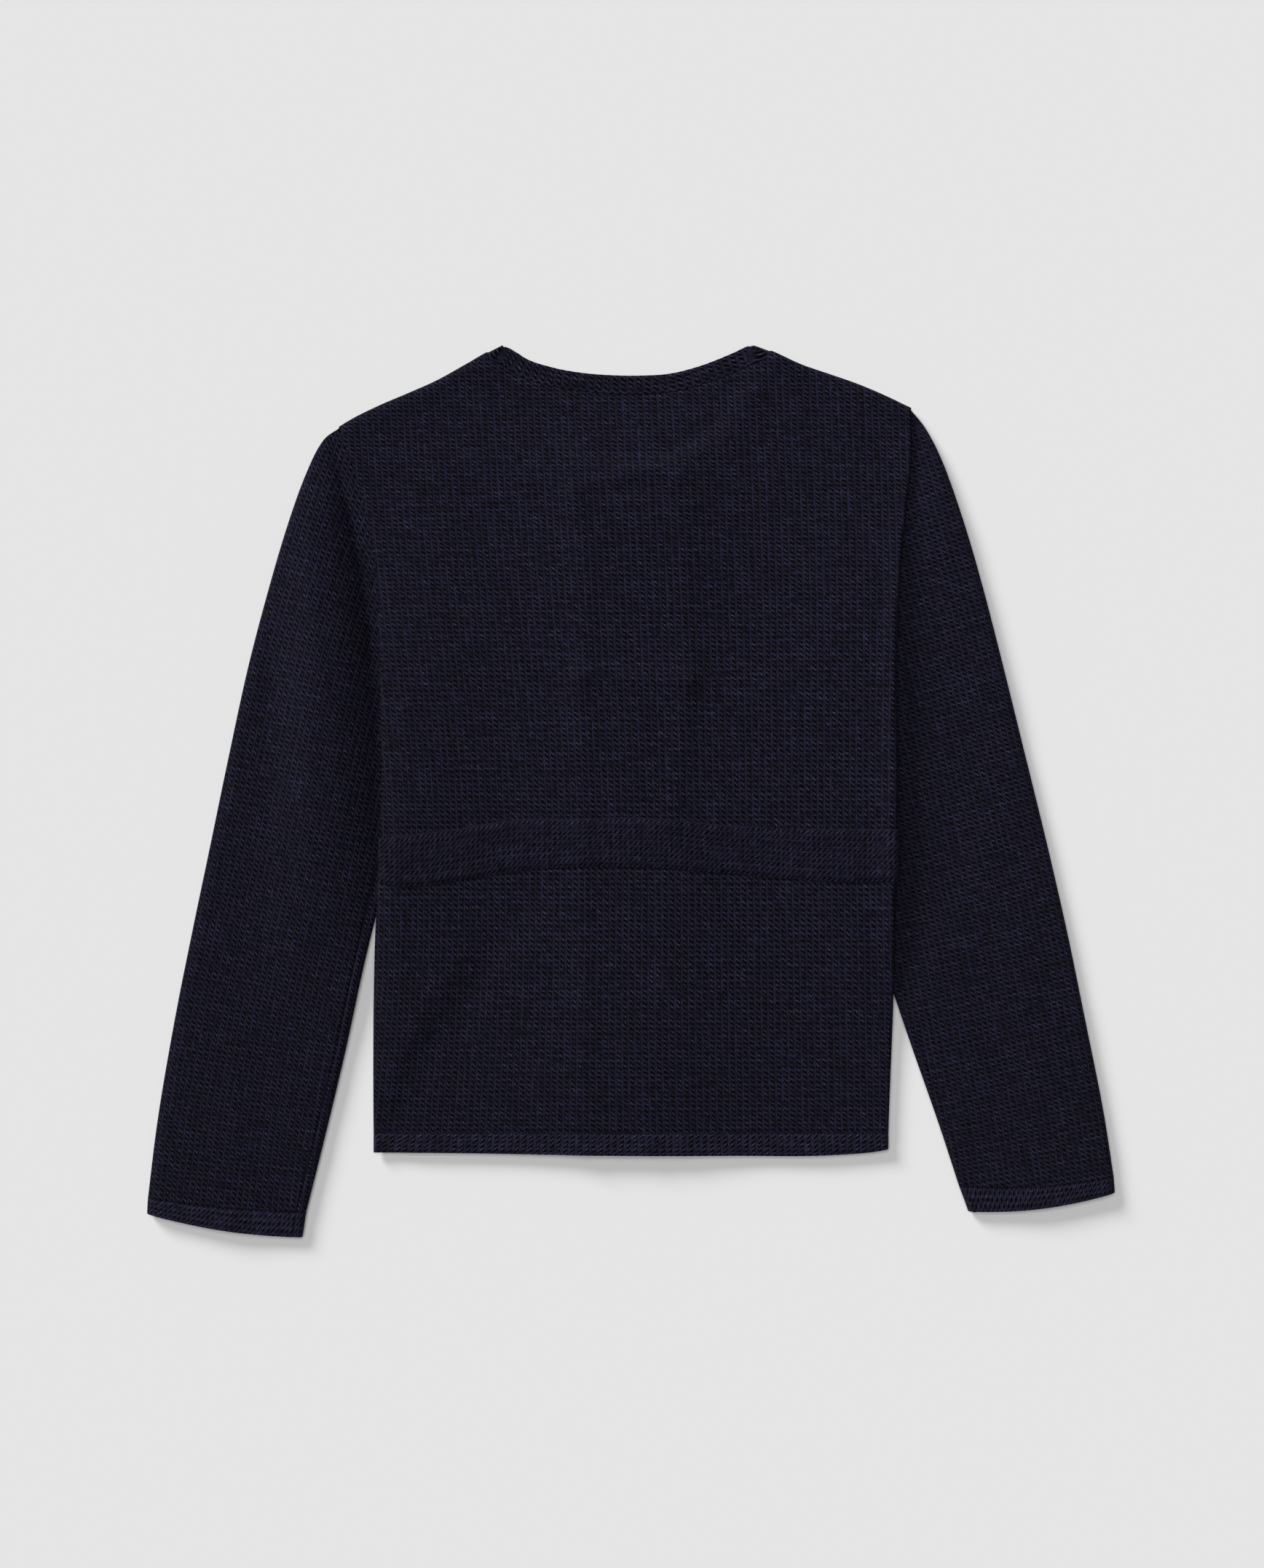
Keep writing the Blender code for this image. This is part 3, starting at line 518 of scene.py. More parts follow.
def put(name, data):
    """A new object in the scene."""
    obj = bpy.data.objects.new(name, data)
    bpy.context.scene.collection.objects.link(obj)
    return obj


def shell(name, outer, uv, mat, keep=None, closed=False, wall=WALL, turn=(0.0, 0.0)):
    """A closed cloth piece from the grid of its outer face, in millimetres. Where the grid closes on
    itself, turn is how far the map goes all round."""
    rows, columns = outer.shape[:2]
    index = np.arange(rows * columns).reshape(rows, columns)
    right = np.roll(index, -1, axis=1) if closed else index[:, 1:]
    left = index if closed else index[:, :-1]
    quads = np.stack([left[:-1], right[:-1], right[1:], left[1:]], axis=-1)
    if closed:
        uv = np.concatenate([uv, uv[:, :1] + np.array(turn)], axis=1)
    corners = np.stack([uv[:-1, :-1], uv[:-1, 1:], uv[1:, 1:], uv[1:, :-1]], axis=2)
    chosen = np.ones(quads.shape[:2], bool) if keep is None else keep
    quads, corners = quads[chosen], corners[chosen]
    used, faces = np.unique(quads, return_inverse=True)
    faces = faces.reshape(-1, 4)
    points = outer.reshape(-1, 3)[used] * METRES

    mesh = bpy.data.meshes.new(name)
    mesh.vertices.add(len(points))
    mesh.vertices.foreach_set("co", points.ravel())
    mesh.loops.add(faces.size)
    mesh.loops.foreach_set("vertex_index", faces.ravel().astype(np.int32))
    mesh.polygons.add(len(faces))
    mesh.polygons.foreach_set("loop_start", np.arange(0, faces.size, 4, dtype=np.int32))
    mesh.polygons.foreach_set("loop_total", np.full(len(faces), 4, dtype=np.int32))
    mesh.update(calc_edges=True)
    mesh.shade_smooth()
    layer = mesh.uv_layers.new(name="stitches")
    layer.data.foreach_set("uv", corners.reshape(-1, 2).ravel().astype(np.float32))
    mesh.validate()
    mesh.materials.append(mat)
    obj = put(name, mesh)
    thick = obj.modifiers.new("Wall", "SOLIDIFY")
    thick.thickness = wall * METRES
    thick.offset = -1.0
    thick.use_quality_normals = True
    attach(obj, "root")
    return obj


def declare(node):
    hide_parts(node)


# The body's grid


def cloth_lean(x, y):
    """The wales' lean as a slope in plan."""
    left, middle, right = (curve(BACK_KNIT, "y", name)(y) for name in ("left", "middle", "right"))
    share = clamp(abs(x) / 150.0)
    return np.tan(np.radians(np.where(x < 0, left, right) * share + middle * (1.0 - share)))


def wale_number(width):
    """Numbers of wales at distances from the middle."""
    at = np.linspace(-230.0, 230.0, 461)
    pitch = np.interp(at, (-150.0, 0.0, 150.0), (WALE_LEFT, WALE_MIDDLE, WALE_RIGHT))
    number = np.cumsum(1.0 / pitch)
    return np.interp(width, at, number - np.interp(0.0, at, number))


def course_number(y):
    at = np.linspace(-260.0, 300.0, 561)
    height = curve(BACK_KNIT, "y", "course")(at)
    return np.interp(y, at, np.cumsum(1.0 / height))


def body_uv(x, y):
    lean = cloth_lean(x, y)
    drift = np.zeros(np.shape(x))
    drift[1:] = np.cumsum((lean[1:] + lean[:-1]) / 2 * np.diff(y, axis=0), axis=0)
    return np.stack([wale_number(x - drift), course_number(y)], axis=-1)


SIDE_FOLD_COLUMNS = 9
SIDE_FOLD_END = radians(165.0)  # how far a side fold turns under
ARMHOLE_FOLD_END = radians(60.0)  # and how far the edge along the armhole does


def fold_columns(across):
    """Columns from the end of the left side fold to that of the right: the share of the way across,
    the share of the fold's turn, and the side."""
    count = SIDE_FOLD_COLUMNS
    turns = np.linspace(0.0, 1.0, count + 1)[1:]
    share = np.concatenate([np.zeros(count), across, np.ones(count)])
    turn = np.concatenate([turns[::-1], np.zeros(len(across)), turns])
    side = np.concatenate([-np.ones(count), np.zeros(len(across)), np.ones(count)])
    return share, turn, side


def unit(dx, dy):
    length = np.hypot(dx, dy)
    return dx / length, dy / length


def shoulder_direction(side):
    point = NECK_POINTS[0 if side < 0 else 1]
    away = point.x + side * 18.0
    return unit(away - point.x, float(shoulder_y(np.float64(away))) - point.y)


def shoulder_outward(side):
    dx, dy = shoulder_direction(side)
    return -dy * side, dx * side


def neck_corner(side):
    point = NECK_POINTS[0 if side < 0 else 1]
    out_x, out_y = shoulder_outward(side)
    return point.x - out_x * NECK_INSET, point.y - out_y * NECK_INSET


def neck_direction(side):
    """The way along the neck rib's end, from its free edge to the top of the shoulder's fold."""
    (away_x, away_y), (out_x, out_y) = shoulder_direction(side), shoulder_outward(side)
    width, inset = NECK_RIB + SEAM, FOLD - NECK_INSET
    return unit(away_x * width - out_x * inset, away_y * width - out_y * inset)


Line = namedtuple("Line", "x y out_x out_y length")  # a dense line with the way out to its seam


def neck_line(points, first_out, last_out, step):
    """A smooth line through the neck's edge points, with the directions to the seam."""
    points = np.array(points, float)
    keys = path_length(points)
    outs = [first_out]
    for a, b in zip(points[:-2], points[2:]):
        dx, dy = unit(*(b - a))
        outs.append((dy, -dx))
    outs = np.array([*outs, last_out])
    at = np.linspace(0.0, keys[-1], int(round(keys[-1] / step)) + 1)
    x, y = smooth_columns(keys, points, at)
    out_x, out_y = unit(*smooth_columns(keys, outs, at))
    return Line(x, y, out_x, out_y, path_length(np.column_stack([x, y])))


def back_neck_line(step):
    points = [neck_corner(-1), *BACK_NECK, neck_corner(1)]
    return neck_line(points, neck_direction(-1), neck_direction(1), step)


def neck_span():
    """The middle of the neck opening and half its width."""
    (left_x, _), (right_x, _) = neck_corner(-1), neck_corner(1)
    return (left_x + right_x) / 2, (right_x - left_x) / 2


def front_neck_points(start, end):
    """Points of the front neckline, an arc between two angles."""
    (_, left_y), (_, right_y) = neck_corner(-1), neck_corner(1)
    middle, half_width = neck_span()
    low_y = NECK_POINTS[0].y - FRONT_NECK_DEPTH
    points = []
    for angle in np.linspace(start, end, 15):
        corner_y = left_y if np.cos(angle) < 0 else right_y
        points.append(
            (middle + half_width * np.cos(angle), corner_y - (corner_y - low_y) * np.sin(angle))
        )
    return points


def neck_seam(step=1.0):
    line = back_neck_line(step)
    width = NECK_RIB + SEAM
    return line.x + line.out_x * width, line.y + line.out_y * width


def build_back(mat):
    seam_x, seam_y = neck_seam()
    corner_left, corner_right = seam_x[0], seam_x[-1]

    def inner_left(y):
        return left_side(y) + LEFT_FOLD

    def inner_right(y):
        return right_side(y) - RIGHT_FOLD

    def fold_end(y):
        return ARMHOLE_FOLD_END + (SIDE_FOLD_END - ARMHOLE_FOLD_END) * side_fold(y)

    def top_of(x):
        on_shoulder = shoulder_y(x) - FOLD * shoulder_lean(x)
        in_neck = np.interp(x, seam_x, seam_y)
        inside = (x > corner_left) & (x < corner_right)
        return np.where(inside, in_neck, on_shoulder)

    bottom = HEM_SEAM_Y - 0.1
    near = np.array([0.4, 1.0, 1.8, 2.8, 4.0])
    low_rows = np.concatenate([[0.0], near])
    up = np.linspace(0.0, 1.0, 186)
    high_rows = near[::-1]
    fold_rows = np.linspace(0.0, SIDE_FOLD_END, 10)

    share, turn, side = fold_columns(np.linspace(0.0, 1.0, 133))
    grid_rows = []
    kinds = (
        [("low", value) for value in low_rows]
        + [("up", value) for value in up[1:-1]]
        + [("high", value) for value in high_rows]
        + [("fold", value) for value in fold_rows]
    )
    for kind, value in kinds:
        y = np.full(share.shape, 0.0)
        for _ in range(12):
            start, end = inner_left(y), inner_right(y)
            x = start + share * (end - start)
            angle = turn * fold_end(y)
            x = x + side * np.where(side < 0, LEFT_FOLD, RIGHT_FOLD) * np.sin(angle)
            top = top_of(x)
            if kind == "low":
                y = np.full(share.shape, bottom + value)
            elif kind == "up":
                first, last = bottom + near[-1], top - near[-1]
                y = first + value * (last - first)
            elif kind == "high":
                y = top - value
            else:
                y = top + FOLD * shoulder_lean(x) * np.sin(value)
        drop = fold_height(side, y) * (1.0 - np.cos(angle))
        if kind == "fold":
            drop = np.maximum(drop, FOLD * (1.0 - np.cos(value)))
        inside = (x > corner_left) & (x < corner_right)
        curl = np.where(inside, 0.5 * soft_ramp(top - y, 0.0, 2.6), 0.0)
        curl = curl + 0.4 * (1.0 + np.cos(angle)) * soft_ramp(y - bottom, 0.0, 2.6)
        yy = np.minimum(y, top)
        z = back_z(x, yy) + HALF - drop - curl
        grid_rows.append(np.stack([x, y, z], axis=-1))
    outer = np.array(grid_rows)
    uv = body_uv(outer[..., 0], outer[..., 1])
    inside = (outer[-len(fold_rows), :, 0] > corner_left - 0.01) & (
        outer[-len(fold_rows), :, 0] < corner_right + 0.01
    )
    keep = np.ones((outer.shape[0] - 1, outer.shape[1] - 1), bool)
    keep[-len(fold_rows) + 1 :] = ~(inside[1:] & inside[:-1])
    obj = shell("Back", outer, uv, mat, keep=keep)
    declare("back_panel")


# Materials


class Surface:
    """A node-based material, with short names for the nodes that it is made of."""

    def __init__(self, name):
        self.material = bpy.data.materials.new(name)
        self.material.use_nodes = True
        self.nodes = self.material.node_tree.nodes
        self.links = self.material.node_tree.links
        self.shader = self.nodes["Principled BSDF"]

    def feed(self, socket, value):
        if isinstance(value, bpy.types.NodeSocket):
            self.links.new(value, socket)
        else:
            socket.default_value = value

    def give(self, node, **values):
        """Feed a node's inputs by name, with _ for a space."""
        for name, value in values.items():
            self.feed(node.inputs[name.replace("_", " ")], value)

    def node(self, kind, *values):
        """A new node, its first inputs fed in order."""
        node = self.nodes.new("ShaderNode" + kind)
        for socket, value in zip(node.inputs, values):
            self.feed(socket, value)
        return node

    def math(self, operation, *values):
        node = self.node("Math", *values)
        node.operation = operation
        return node.outputs[0]

    def add(self, *values):
        return self.math("ADD", *values)

    def sub(self, *values):
        return self.math("SUBTRACT", *values)

    def mul(self, *values):
        return self.math("MULTIPLY", *values)

    def range(self, value, low, high, to_low, to_high, kind="SMOOTHSTEP"):
        node = self.node("MapRange", value, low, high, to_low, to_high)
        node.interpolation_type = kind
        return node.outputs[0]

    def stitch_place(self):
        place = self.node("UVMap")
        place.uv_map = "stitches"
        return self.node("SeparateXYZ", place.outputs[0]).outputs[:2]

    def noise(self, place, scale, detail, roughness=0.5):
        node = self.node("TexNoise")
        self.give(node, Vector=place, Scale=scale, Detail=detail, Roughness=roughness)
        return node.outputs["Fac"]

    def grain(self, u, v, across, along, layer, detail, roughness=0.5):
        """Noise with the given number of lumps to a wale and to a course. layer picks another noise."""
        place = self.node("CombineXYZ", self.mul(u, across), self.mul(v, along), layer)
        return self.noise(place.outputs[0], 1.0, detail, roughness)

    def colour(self, colour, factor):
        node = self.node("VectorMath", colour)
        node.operation = "SCALE"
        self.give(node, Scale=factor)
        return node.outputs[0]

    def bump(self, height, depth):
        node = self.node("Bump")
        self.give(node, Height=height, Distance=depth * METRES)
        self.give(self.shader, Normal=node.outputs[0])


NAVY = (0.0096, 0.0091, 0.0216)
RIB_TINT = (1.03, 1.0, 0.92)  # the ribs are a little less blue
BLUE, PURPLE = (0.84, 1.05, 1.04), (1.19, 0.94, 0.99)
BUTTON_COLOUR = (0.013, 0.014, 0.022)

CONTRAST = 2.1  # how far light and dark are pushed apart: the yarn's uneven tone, and with it the painted shade in the pits and the painted highlight on the legs

# One column of stitches: a string of slanting legs beside a straight one. Places and half widths are
# shares of the column; slope is the slant of a leg; middle is the shade of the fuzz, dark and light how
# far the pits and the legs go beyond it, in the bump and in colour, where the pits are painted shade and
# the legs a painted highlight.
Stitch = namedtuple("Stitch", "slope bead bead_half line line_half line_level middle dark light depth")
KNIT = Stitch(1.0, 0.36, 0.36, 0.86, 0.17, 0.28, 1.02, 1.20, 0.75, 0.9)
RIB = Stitch(1.1, 0.32, 0.36, 0.80, 0.20, 0.32, 1.00, 1.12, 0.8, 0.7)
EDGE_RIB = Stitch(-1.2, 0.34, 0.36, 0.80, 0.20, 0.32, 1.17, 1.20, 0.7, 0.6)
BELT_RIB = Stitch(-1.1, 0.34, 0.42, 0.85, 0.14, 0.30, 0.98, 0.66, 0.6, 0.45)


def tinted(s, u, v, tint):
    """The navy of the yarn, here bluer and there redder."""
    cloud = s.grain(u, v, 0.16, 0.14, 40.0, 3.0, 0.6)
    small = s.grain(u, v, 1.1, 1.1, 47.0, 2.0, 0.6)
    share = s.range(s.add(s.mul(cloud, 0.6), s.mul(small, 0.4)), 0.34, 0.66, 0.0, 1.0, "LINEAR")
    node = s.node("Mix")
    node.data_type = "RGBA"
    s.feed(node.inputs[0], share)
    for socket, shift in zip(node.inputs[6:8], (BLUE, PURPLE)):  # its two colours
        socket.default_value = (*(a * b * c for a, b, c in zip(NAVY, shift, tint)), 1.0)
    return node.outputs[2]


def heather(s, u, v):
    """Uneven colour of the yarn: streaks along the courses and up the wales, and single stitches."""
    streaks = s.grain(u, v, 0.20, 0.8, 0.0, 3.0, 0.6)
    upright = s.grain(u, v, 0.95, 0.10, 19.0, 2.0, 0.5)
    stitches = s.grain(u, v, 0.9, 1.1, 7.0, 2.0, 0.6)
    total = s.range(streaks, 0.25, 0.75, 0.80, 1.20, "LINEAR")
    total = s.mul(total, s.range(upright, 0.25, 0.75, 0.90, 1.10, "LINEAR"))
    return s.mul(total, s.range(stitches, 0.25, 0.75, 0.72, 1.28, "LINEAR"))


def wandered(s, u, v):
    """The stitches' places, made uneven from stitch to stitch and over longer runs."""
    moved = []
    for value, seed, amount in ((u, 11.0, 0.22), (v, 23.0, 0.45)):
        wide = s.grain(u, v, 0.5, 0.45, seed, 1.0)
        near = s.grain(u, v, 1.9, 1.5, seed + 5.0, 2.0, 0.6)
        both = s.add(s.mul(s.sub(wide, 0.5), amount), s.mul(s.sub(near, 0.5), 1.3 * amount))
        moved.append(s.add(value, both))
    return moved


def stitch_material(name, kind, tint=RIB_TINT, seam=None):
    """Knitting or ribbing. seam: the v at which a chain of loops joins it to the next piece."""
    s = Surface(name)
    u, v = s.stitch_place()
    u2, v2 = wandered(s, u, v)
    clear = s.grain(u, v, 0.45, 0.5, 31.0, 3.0, 0.65)
    clear = s.range(clear, 0.36, 0.60, 0.50, 1.12)  # how clearly the stitches stand out from the fuzz
    fibres = s.grain(u, v, 5.5, 4.5, 3.0, 4.0, 0.75)
    fuzz = s.range(fibres, 0.3, 0.7, -0.55, 0.75, "LINEAR")

    x = s.math("FRACT", u2)
    off = s.sub(x, kind.bead)
    body = s.range(s.math("ABSOLUTE", off), kind.bead_half * 0.4, kind.bead_half, 1.0, 0.0)
    phase = s.math("FRACT", s.add(v2, s.mul(off, kind.slope)))
    along = s.math("ABSOLUTE", s.sub(phase, 0.5))
    beads = s.mul(body, s.range(along, 0.06, 0.30, 1.0, 0.0))
    away = s.math("ABSOLUTE", s.sub(x, kind.line))
    ripple = s.add(0.82, s.mul(0.18, s.math("SINE", s.mul(v2, 2 * pi))))
    line = s.mul(s.range(away, kind.line_half * 0.3, kind.line_half, kind.line_level, 0.0), ripple)
    high = s.math("MAXIMUM", beads, line)
    pit = s.mul(body, s.range(along, 0.12, 0.34, 0.0, 1.0))
    beside = s.range(away, kind.line_half, kind.line_half + 0.12, 0.7, 0.0)
    beside = s.mul(beside, s.math("GREATER_THAN", away, kind.line_half))
    low = s.math("MAXIMUM", pit, beside)
    if seam is not None:
        # At the seam the chain's loops are painted lighter and the cloth past the chain darker: painted
        # highlight and painted shade.
        loops = s.sub(seam + 0.25, s.mul(0.55, s.math("ABSOLUTE", s.math("SINE", s.mul(u2, pi)))))
        chain = s.range(s.math("ABSOLUTE", s.sub(v, loops)), 0.10, 0.34, 1.0, 0.0)
        above = s.range(v, seam - 0.2, seam + 0.35, 0.0, 1.0)
        high = s.math("MAXIMUM", s.mul(high, above), s.mul(chain, 0.6))
        low = s.mul(s.add(s.mul(low, above), s.mul(0.6, s.sub(1.0, above))), s.sub(1.0, chain))
    # Painted shade and painted highlight: the pits and the gaps beside the straight legs are painted
    # darker and the legs lighter; the same relief also makes the bump.
    yarn_relief_and_painted_shade = s.sub(s.mul(high, kind.light), s.mul(low, kind.dark))
    height = s.add(s.mul(clear, yarn_relief_and_painted_shade), s.mul(0.35, fuzz))
    shade = s.add(kind.middle, s.add(s.mul(clear, yarn_relief_and_painted_shade), s.mul(0.55, fuzz)))
    shade = s.mul(s.math("MAXIMUM", shade, 0.08), heather(s, u, v))
    shade = s.math("POWER", shade, CONTRAST)
    # Painted shade and light: the cloth is darker at low course numbers, towards the hem and the cuffs,
    # and lighter up towards the shoulders.
    shade = s.mul(shade, s.range(v, 10.0, 190.0, 0.92, 1.10, "LINEAR"))
    s.bump(height, kind.depth)
    colour = s.colour(tinted(s, u, v, tint), shade)
    s.give(s.shader, Base_Color=colour, Roughness=1.0, Specular_IOR_Level=0.03)
    s.give(s.shader, Sheen_Weight=0.02, Sheen_Roughness=0.6)
    return s.material


def button_material():
    s = Surface("Button")
    place = s.node("TexCoord").outputs["Object"]
    cloud = s.noise(place, 240.0, 3.0)
    fine = s.noise(place, 2600.0, 2.0)
    shade = s.mul(s.range(cloud, 0.3, 0.7, 0.75, 1.3), s.range(fine, 0.3, 0.7, 0.92, 1.08))
    rough = s.range(cloud, 0.3, 0.7, 0.3, 0.45)
    s.give(s.shader, Base_Color=s.colour(BUTTON_COLOUR, shade), Roughness=rough)
    s.bump(fine, 0.03)
    return s.material


# Fronts, bands and hems


def body_piece(name, low_x, high_x, low_y, top, height, mat, steps, node, slot):
    """A hidden front piece, outer face down. low_x and high_x are functions of y, top of x."""
    across = np.linspace(1.0, 0.0, steps[0])
    up = np.linspace(0.0, 1.0, steps[1])
    t, s = np.meshgrid(up, across, indexing="ij")
    y = np.zeros(t.shape)
    for _ in range(12):
        x = low_x(y) + s * (high_x(y) - low_x(y))
        y = low_y + t * (top(x) - low_y)
    outer = np.stack([x, y, height(x, y) - HALF], axis=-1)
    uv = np.stack([wale_number(x), course_number(y)], axis=-1)
    if slot == "rib":
        uv = np.stack([x / HEM_RIB_PITCH, y / SLEEVE_COURSE], axis=-1)
    obj = shell(name, outer, uv, mat)
    declare(node)


LEFT_INSET, RIGHT_INSET = 4.0, 2.4  # how far in from the sides the fronts end


def front_top(x):
    """The fronts' upper edge: the front neck seam, and the shoulder."""
    points = front_neck_points(pi, 0.0)
    line = neck_line(points, neck_direction(-1), neck_direction(1), 1.0)
    width = NECK_RIB + SEAM
    seam_x, seam_y = line.x + line.out_x * width, line.y + line.out_y * width
    on_shoulder = shoulder_y(x) - (FOLD + 0.6) * shoulder_lean(x)
    return np.where((x > seam_x[0]) & (x < seam_x[-1]), np.interp(x, seam_x, seam_y), on_shoulder)


def build_fronts(knit, rib):
    gap = SEAM / 2
    low = HEM_SEAM_Y + gap

    def constant(value):
        return lambda y: np.full(np.shape(y), value)

    def left_edge(y):
        return left_side(y) + LEFT_INSET + (RIGHT_INSET - LEFT_INSET) * soft_ramp(-y, -104.0, -96.0)

    def right_edge(y):
        return right_side(y) - RIGHT_INSET

    body_piece(
        "FrontLeft", left_edge, constant(-OVERLAP - gap), low, front_top, left_front_z, knit, (40, 120),
        "front_left", "knit",
    )
    body_piece(
        "FrontRight", constant(OVERLAP + gap), right_edge, low, front_top, right_front_z, knit, (40, 120),
        "front_right", "knit",
    )
    band_low = float(back_hem(0.0)) + FRONT_HEM_RISE

    def band_top(x):
        return np.minimum(front_top(x), BAND_TOP_Y)

    inner = OVERLAP - 0.35
    body_piece(
        "BandLeft", constant(-inner), constant(OVERLAP), band_low, band_top, left_front_z, rib,
        (121, 130), "band_left", "rib",
    )
    body_piece(
        "BandRight", constant(-OVERLAP), constant(inner), band_low, band_top, right_front_z, rib,
        (121, 130), "band_right", "rib",
    )


def rib_wave(number, height=0.15):
    return height * (np.cos((number - 0.5) * 2 * pi))


def build_hems(rib):
    # the back's hem wraps round the side folds
    share, turn, side = fold_columns(np.linspace(0.0, 1.0, 600))
    downs = np.array([0.0, 0.06, 0.14, 0.26, 0.4, 0.55, 0.7, 0.82, 0.91, 0.97, 1.0])[::-1]
    angle = turn * SIDE_FOLD_END
    start, end = left_side(HEM_SEAM_Y) + LEFT_FOLD, right_side(HEM_SEAM_Y) - RIGHT_FOLD
    wide, tall = np.where(side < 0, LEFT_FOLD, RIGHT_FOLD), fold_height(side, HEM_SEAM_Y)
    base_x = start + share * (end - start)
    rows, uvs = [], []
    edge = np.cumsum(np.concatenate([[0.0], np.hypot(np.diff(base_x), tall[1:] * np.diff(angle))]))
    number = (edge - edge[len(edge) // 2]) / HEM_RIB_PITCH
    for down in downs:
        top = HEM_SEAM_Y + 0.1
        x = base_x + side * wide * np.sin(angle)
        low = back_hem(x) + 0.5
        y = top + down * (low - top)
        lean = np.interp(x, (-147.0, 0.0, 147.0), (1.4, 0.2, -0.4)) * down
        z = back_z(x - lean, HEM_SEAM_Y + 2.0 + 0 * x) - tall * (1.0 - np.cos(angle)) + HALF
        curl = 0.8 * soft_ramp(top - y, 0.0, 2.2) + 0.9 * soft_ramp(y - low, 0.0, 2.5)
        z = z - curl * (1.0 + np.cos(angle)) / 2
        rows.append(np.stack([x - lean * (turn == 0), y, z], axis=-1))
        uvs.append(np.stack([number, y / 2.6], axis=-1))
    grid = raised(np.array(rows), np.array([rib_wave(number) for _ in downs]) - 0.1)
    obj = shell("HemBack", grid, np.array(uvs), rib)
    declare("hem_back")

    specs = (
        ("HemFrontLeft", "hem_front_left", -1, left_front_z),
        ("HemFrontRight", "hem_front_right", 1, right_front_z),
    )
    for name, node, which, height in specs:
        near = which * (OVERLAP + SEAM / 2)
        left, right = left_side(HEM_SEAM_Y) + LEFT_INSET, right_side(HEM_SEAM_Y) - RIGHT_INSET
        far = float(left if which < 0 else right)
        x = np.linspace(max(near, far), min(near, far), 240)
        rows, uvs = [], []
        number = x / HEM_RIB_PITCH
        for down in np.linspace(1.0, 0.0, 6):
            top = HEM_SEAM_Y - SEAM / 2
            low = back_hem(x) + FRONT_HEM_RISE
            y = top + down * (low - top)
            rows.append(np.stack([x, y, height(x, np.full(x.shape, HEM_SEAM_Y)) - HALF], axis=-1))
            uvs.append(np.stack([number, y / 2.6], axis=-1))
        grid = np.array(rows)
        obj = shell(name, grid, np.array(uvs), rib)
        declare(node)


# Neck rib


def build_neck_band(rib):
    step = NECK_RIB_PITCH / 8
    back = back_neck_line(step)
    first, last = neck_direction(-1), neck_direction(1)
    middle, half_width = neck_span()
    stop_left = np.arccos((OVERLAP - middle) / half_width)
    stop_right = np.arccos((-OVERLAP - middle) / half_width)
    left = neck_line(front_neck_points(pi, stop_left), first, (0.0, -1.0), step)
    right = neck_line(front_neck_points(stop_right, 0.0), (0.0, -1.0), last, step)
    shares = np.array([0.0, 0.05, 0.12, 0.22, 0.36, 0.5, 0.64, 0.78, 0.88, 0.95, 1.0])
    mid_fold = FOLD - HALF
    width = NECK_RIB + SEAM + 0.2  # it reaches just past the edge of the back

    rows, number, flat = [], [], []
    count = 0.0

    def add_line(line, order, height):
        nonlocal count
        previous = None
        for i in order:
            x = line.x[i] + line.out_x[i] * width * shares
            y = line.y[i] + line.out_y[i] * width * shares
            rows.append(np.stack([x, y, height(x, y)], axis=-1))
            if previous is not None:
                count += abs(line.length[i] - previous) / NECK_RIB_PITCH
            previous = line.length[i]
            number.append(count)
            flat.append(1.0)

    def add_turn(side, down):
        nonlocal count
        corner_x, corner_y = neck_corner(side)
        away_x, away_y = neck_direction(side)
        out_x, out_y = shoulder_outward(side)
        reach = NECK_INSET + (FOLD - NECK_INSET) * shares - HALF
        turns = np.linspace(0, pi, 15)[1:-1]
        for turn in turns if down else turns[::-1]:
            bulge = reach * np.sin(turn)
            z = FOLD + mid_fold * np.cos(turn) + 0 * shares
            x = corner_x + away_x * width * shares + out_x * bulge
            y = corner_y + away_y * width * shares + out_y * bulge
            rows.append(np.stack([x, y, z], axis=-1))
            count += mid_fold * (turns[1] - turns[0]) / NECK_RIB_PITCH
            number.append(count)
            flat.append(abs(np.cos(turn)))

    add_line(left, range(len(left.x) - 1, -1, -1), left_front_z)
    add_turn(-1, down=False)
    add_line(back, range(len(back.x)), back_z)
    add_turn(1, down=True)
    add_line(right, range(len(right.x) - 1, -1, -1), right_front_z)
    middle_grid = np.array(rows)
    number = np.array(number)
    across = np.tile(shares, (len(rows), 1))
    curl = 0.9 * soft_ramp(across * width, 0.0, 2.2) + 0.9 * soft_ramp((1 - across) * width, 0.0, 1.8)
    flat = np.array(flat)[:, None]
    wave = rib_wave(number, 0.22)[:, None] * flat
    grid = raised(middle_grid, HALF + wave - 0.1 - 0.6 * curl * flat)
    uv = np.stack([np.tile(number[:, None], (1, len(shares))), -across * width / 2.7], axis=-1)
    obj = shell("NeckBand", grid, uv, rib)
    declare("neck_band")


# Sleeves


def read_sections(sections, at):
    """Sections between the given ones, on smooth curves. at counts from 0 along the table."""
    columns = smooth_columns(np.arange(len(sections)), sections, at)
    return [Section(*values) for values in zip(*columns)]


def share_points(points, shares):
    """Points at shares of the length of a line of points."""
    points = np.asarray(points, float)
    length = path_length(points)
    at = np.asarray(shares) * length[-1]
    return np.stack([np.interp(at, length, points[:, 0]), np.interp(at, length, points[:, 1])], axis=-1)


def section_line(section, mouth):
    q = np.linspace(0.0, 1.0, 97)
    start, end = mouth[0], mouth[-1]
    outer = np.array([section.outer_x, section.outer_y])
    inner = np.array([section.inner_x, section.inner_y])
    away = (inner - outer) / np.hypot(*(inner - outer))
    low = np.array([away[1], -away[0]]) if inner[0] > outer[0] else np.array([-away[1], away[0]])
    bend = 4.0 * q * (1.0 - q) * section.sag
    offset = share_points(mouth, q) - (start + (end - start) * q[:, None])
    return outer + (inner - outer) * q[:, None] + low * bend[:, None] + offset * section.mouth


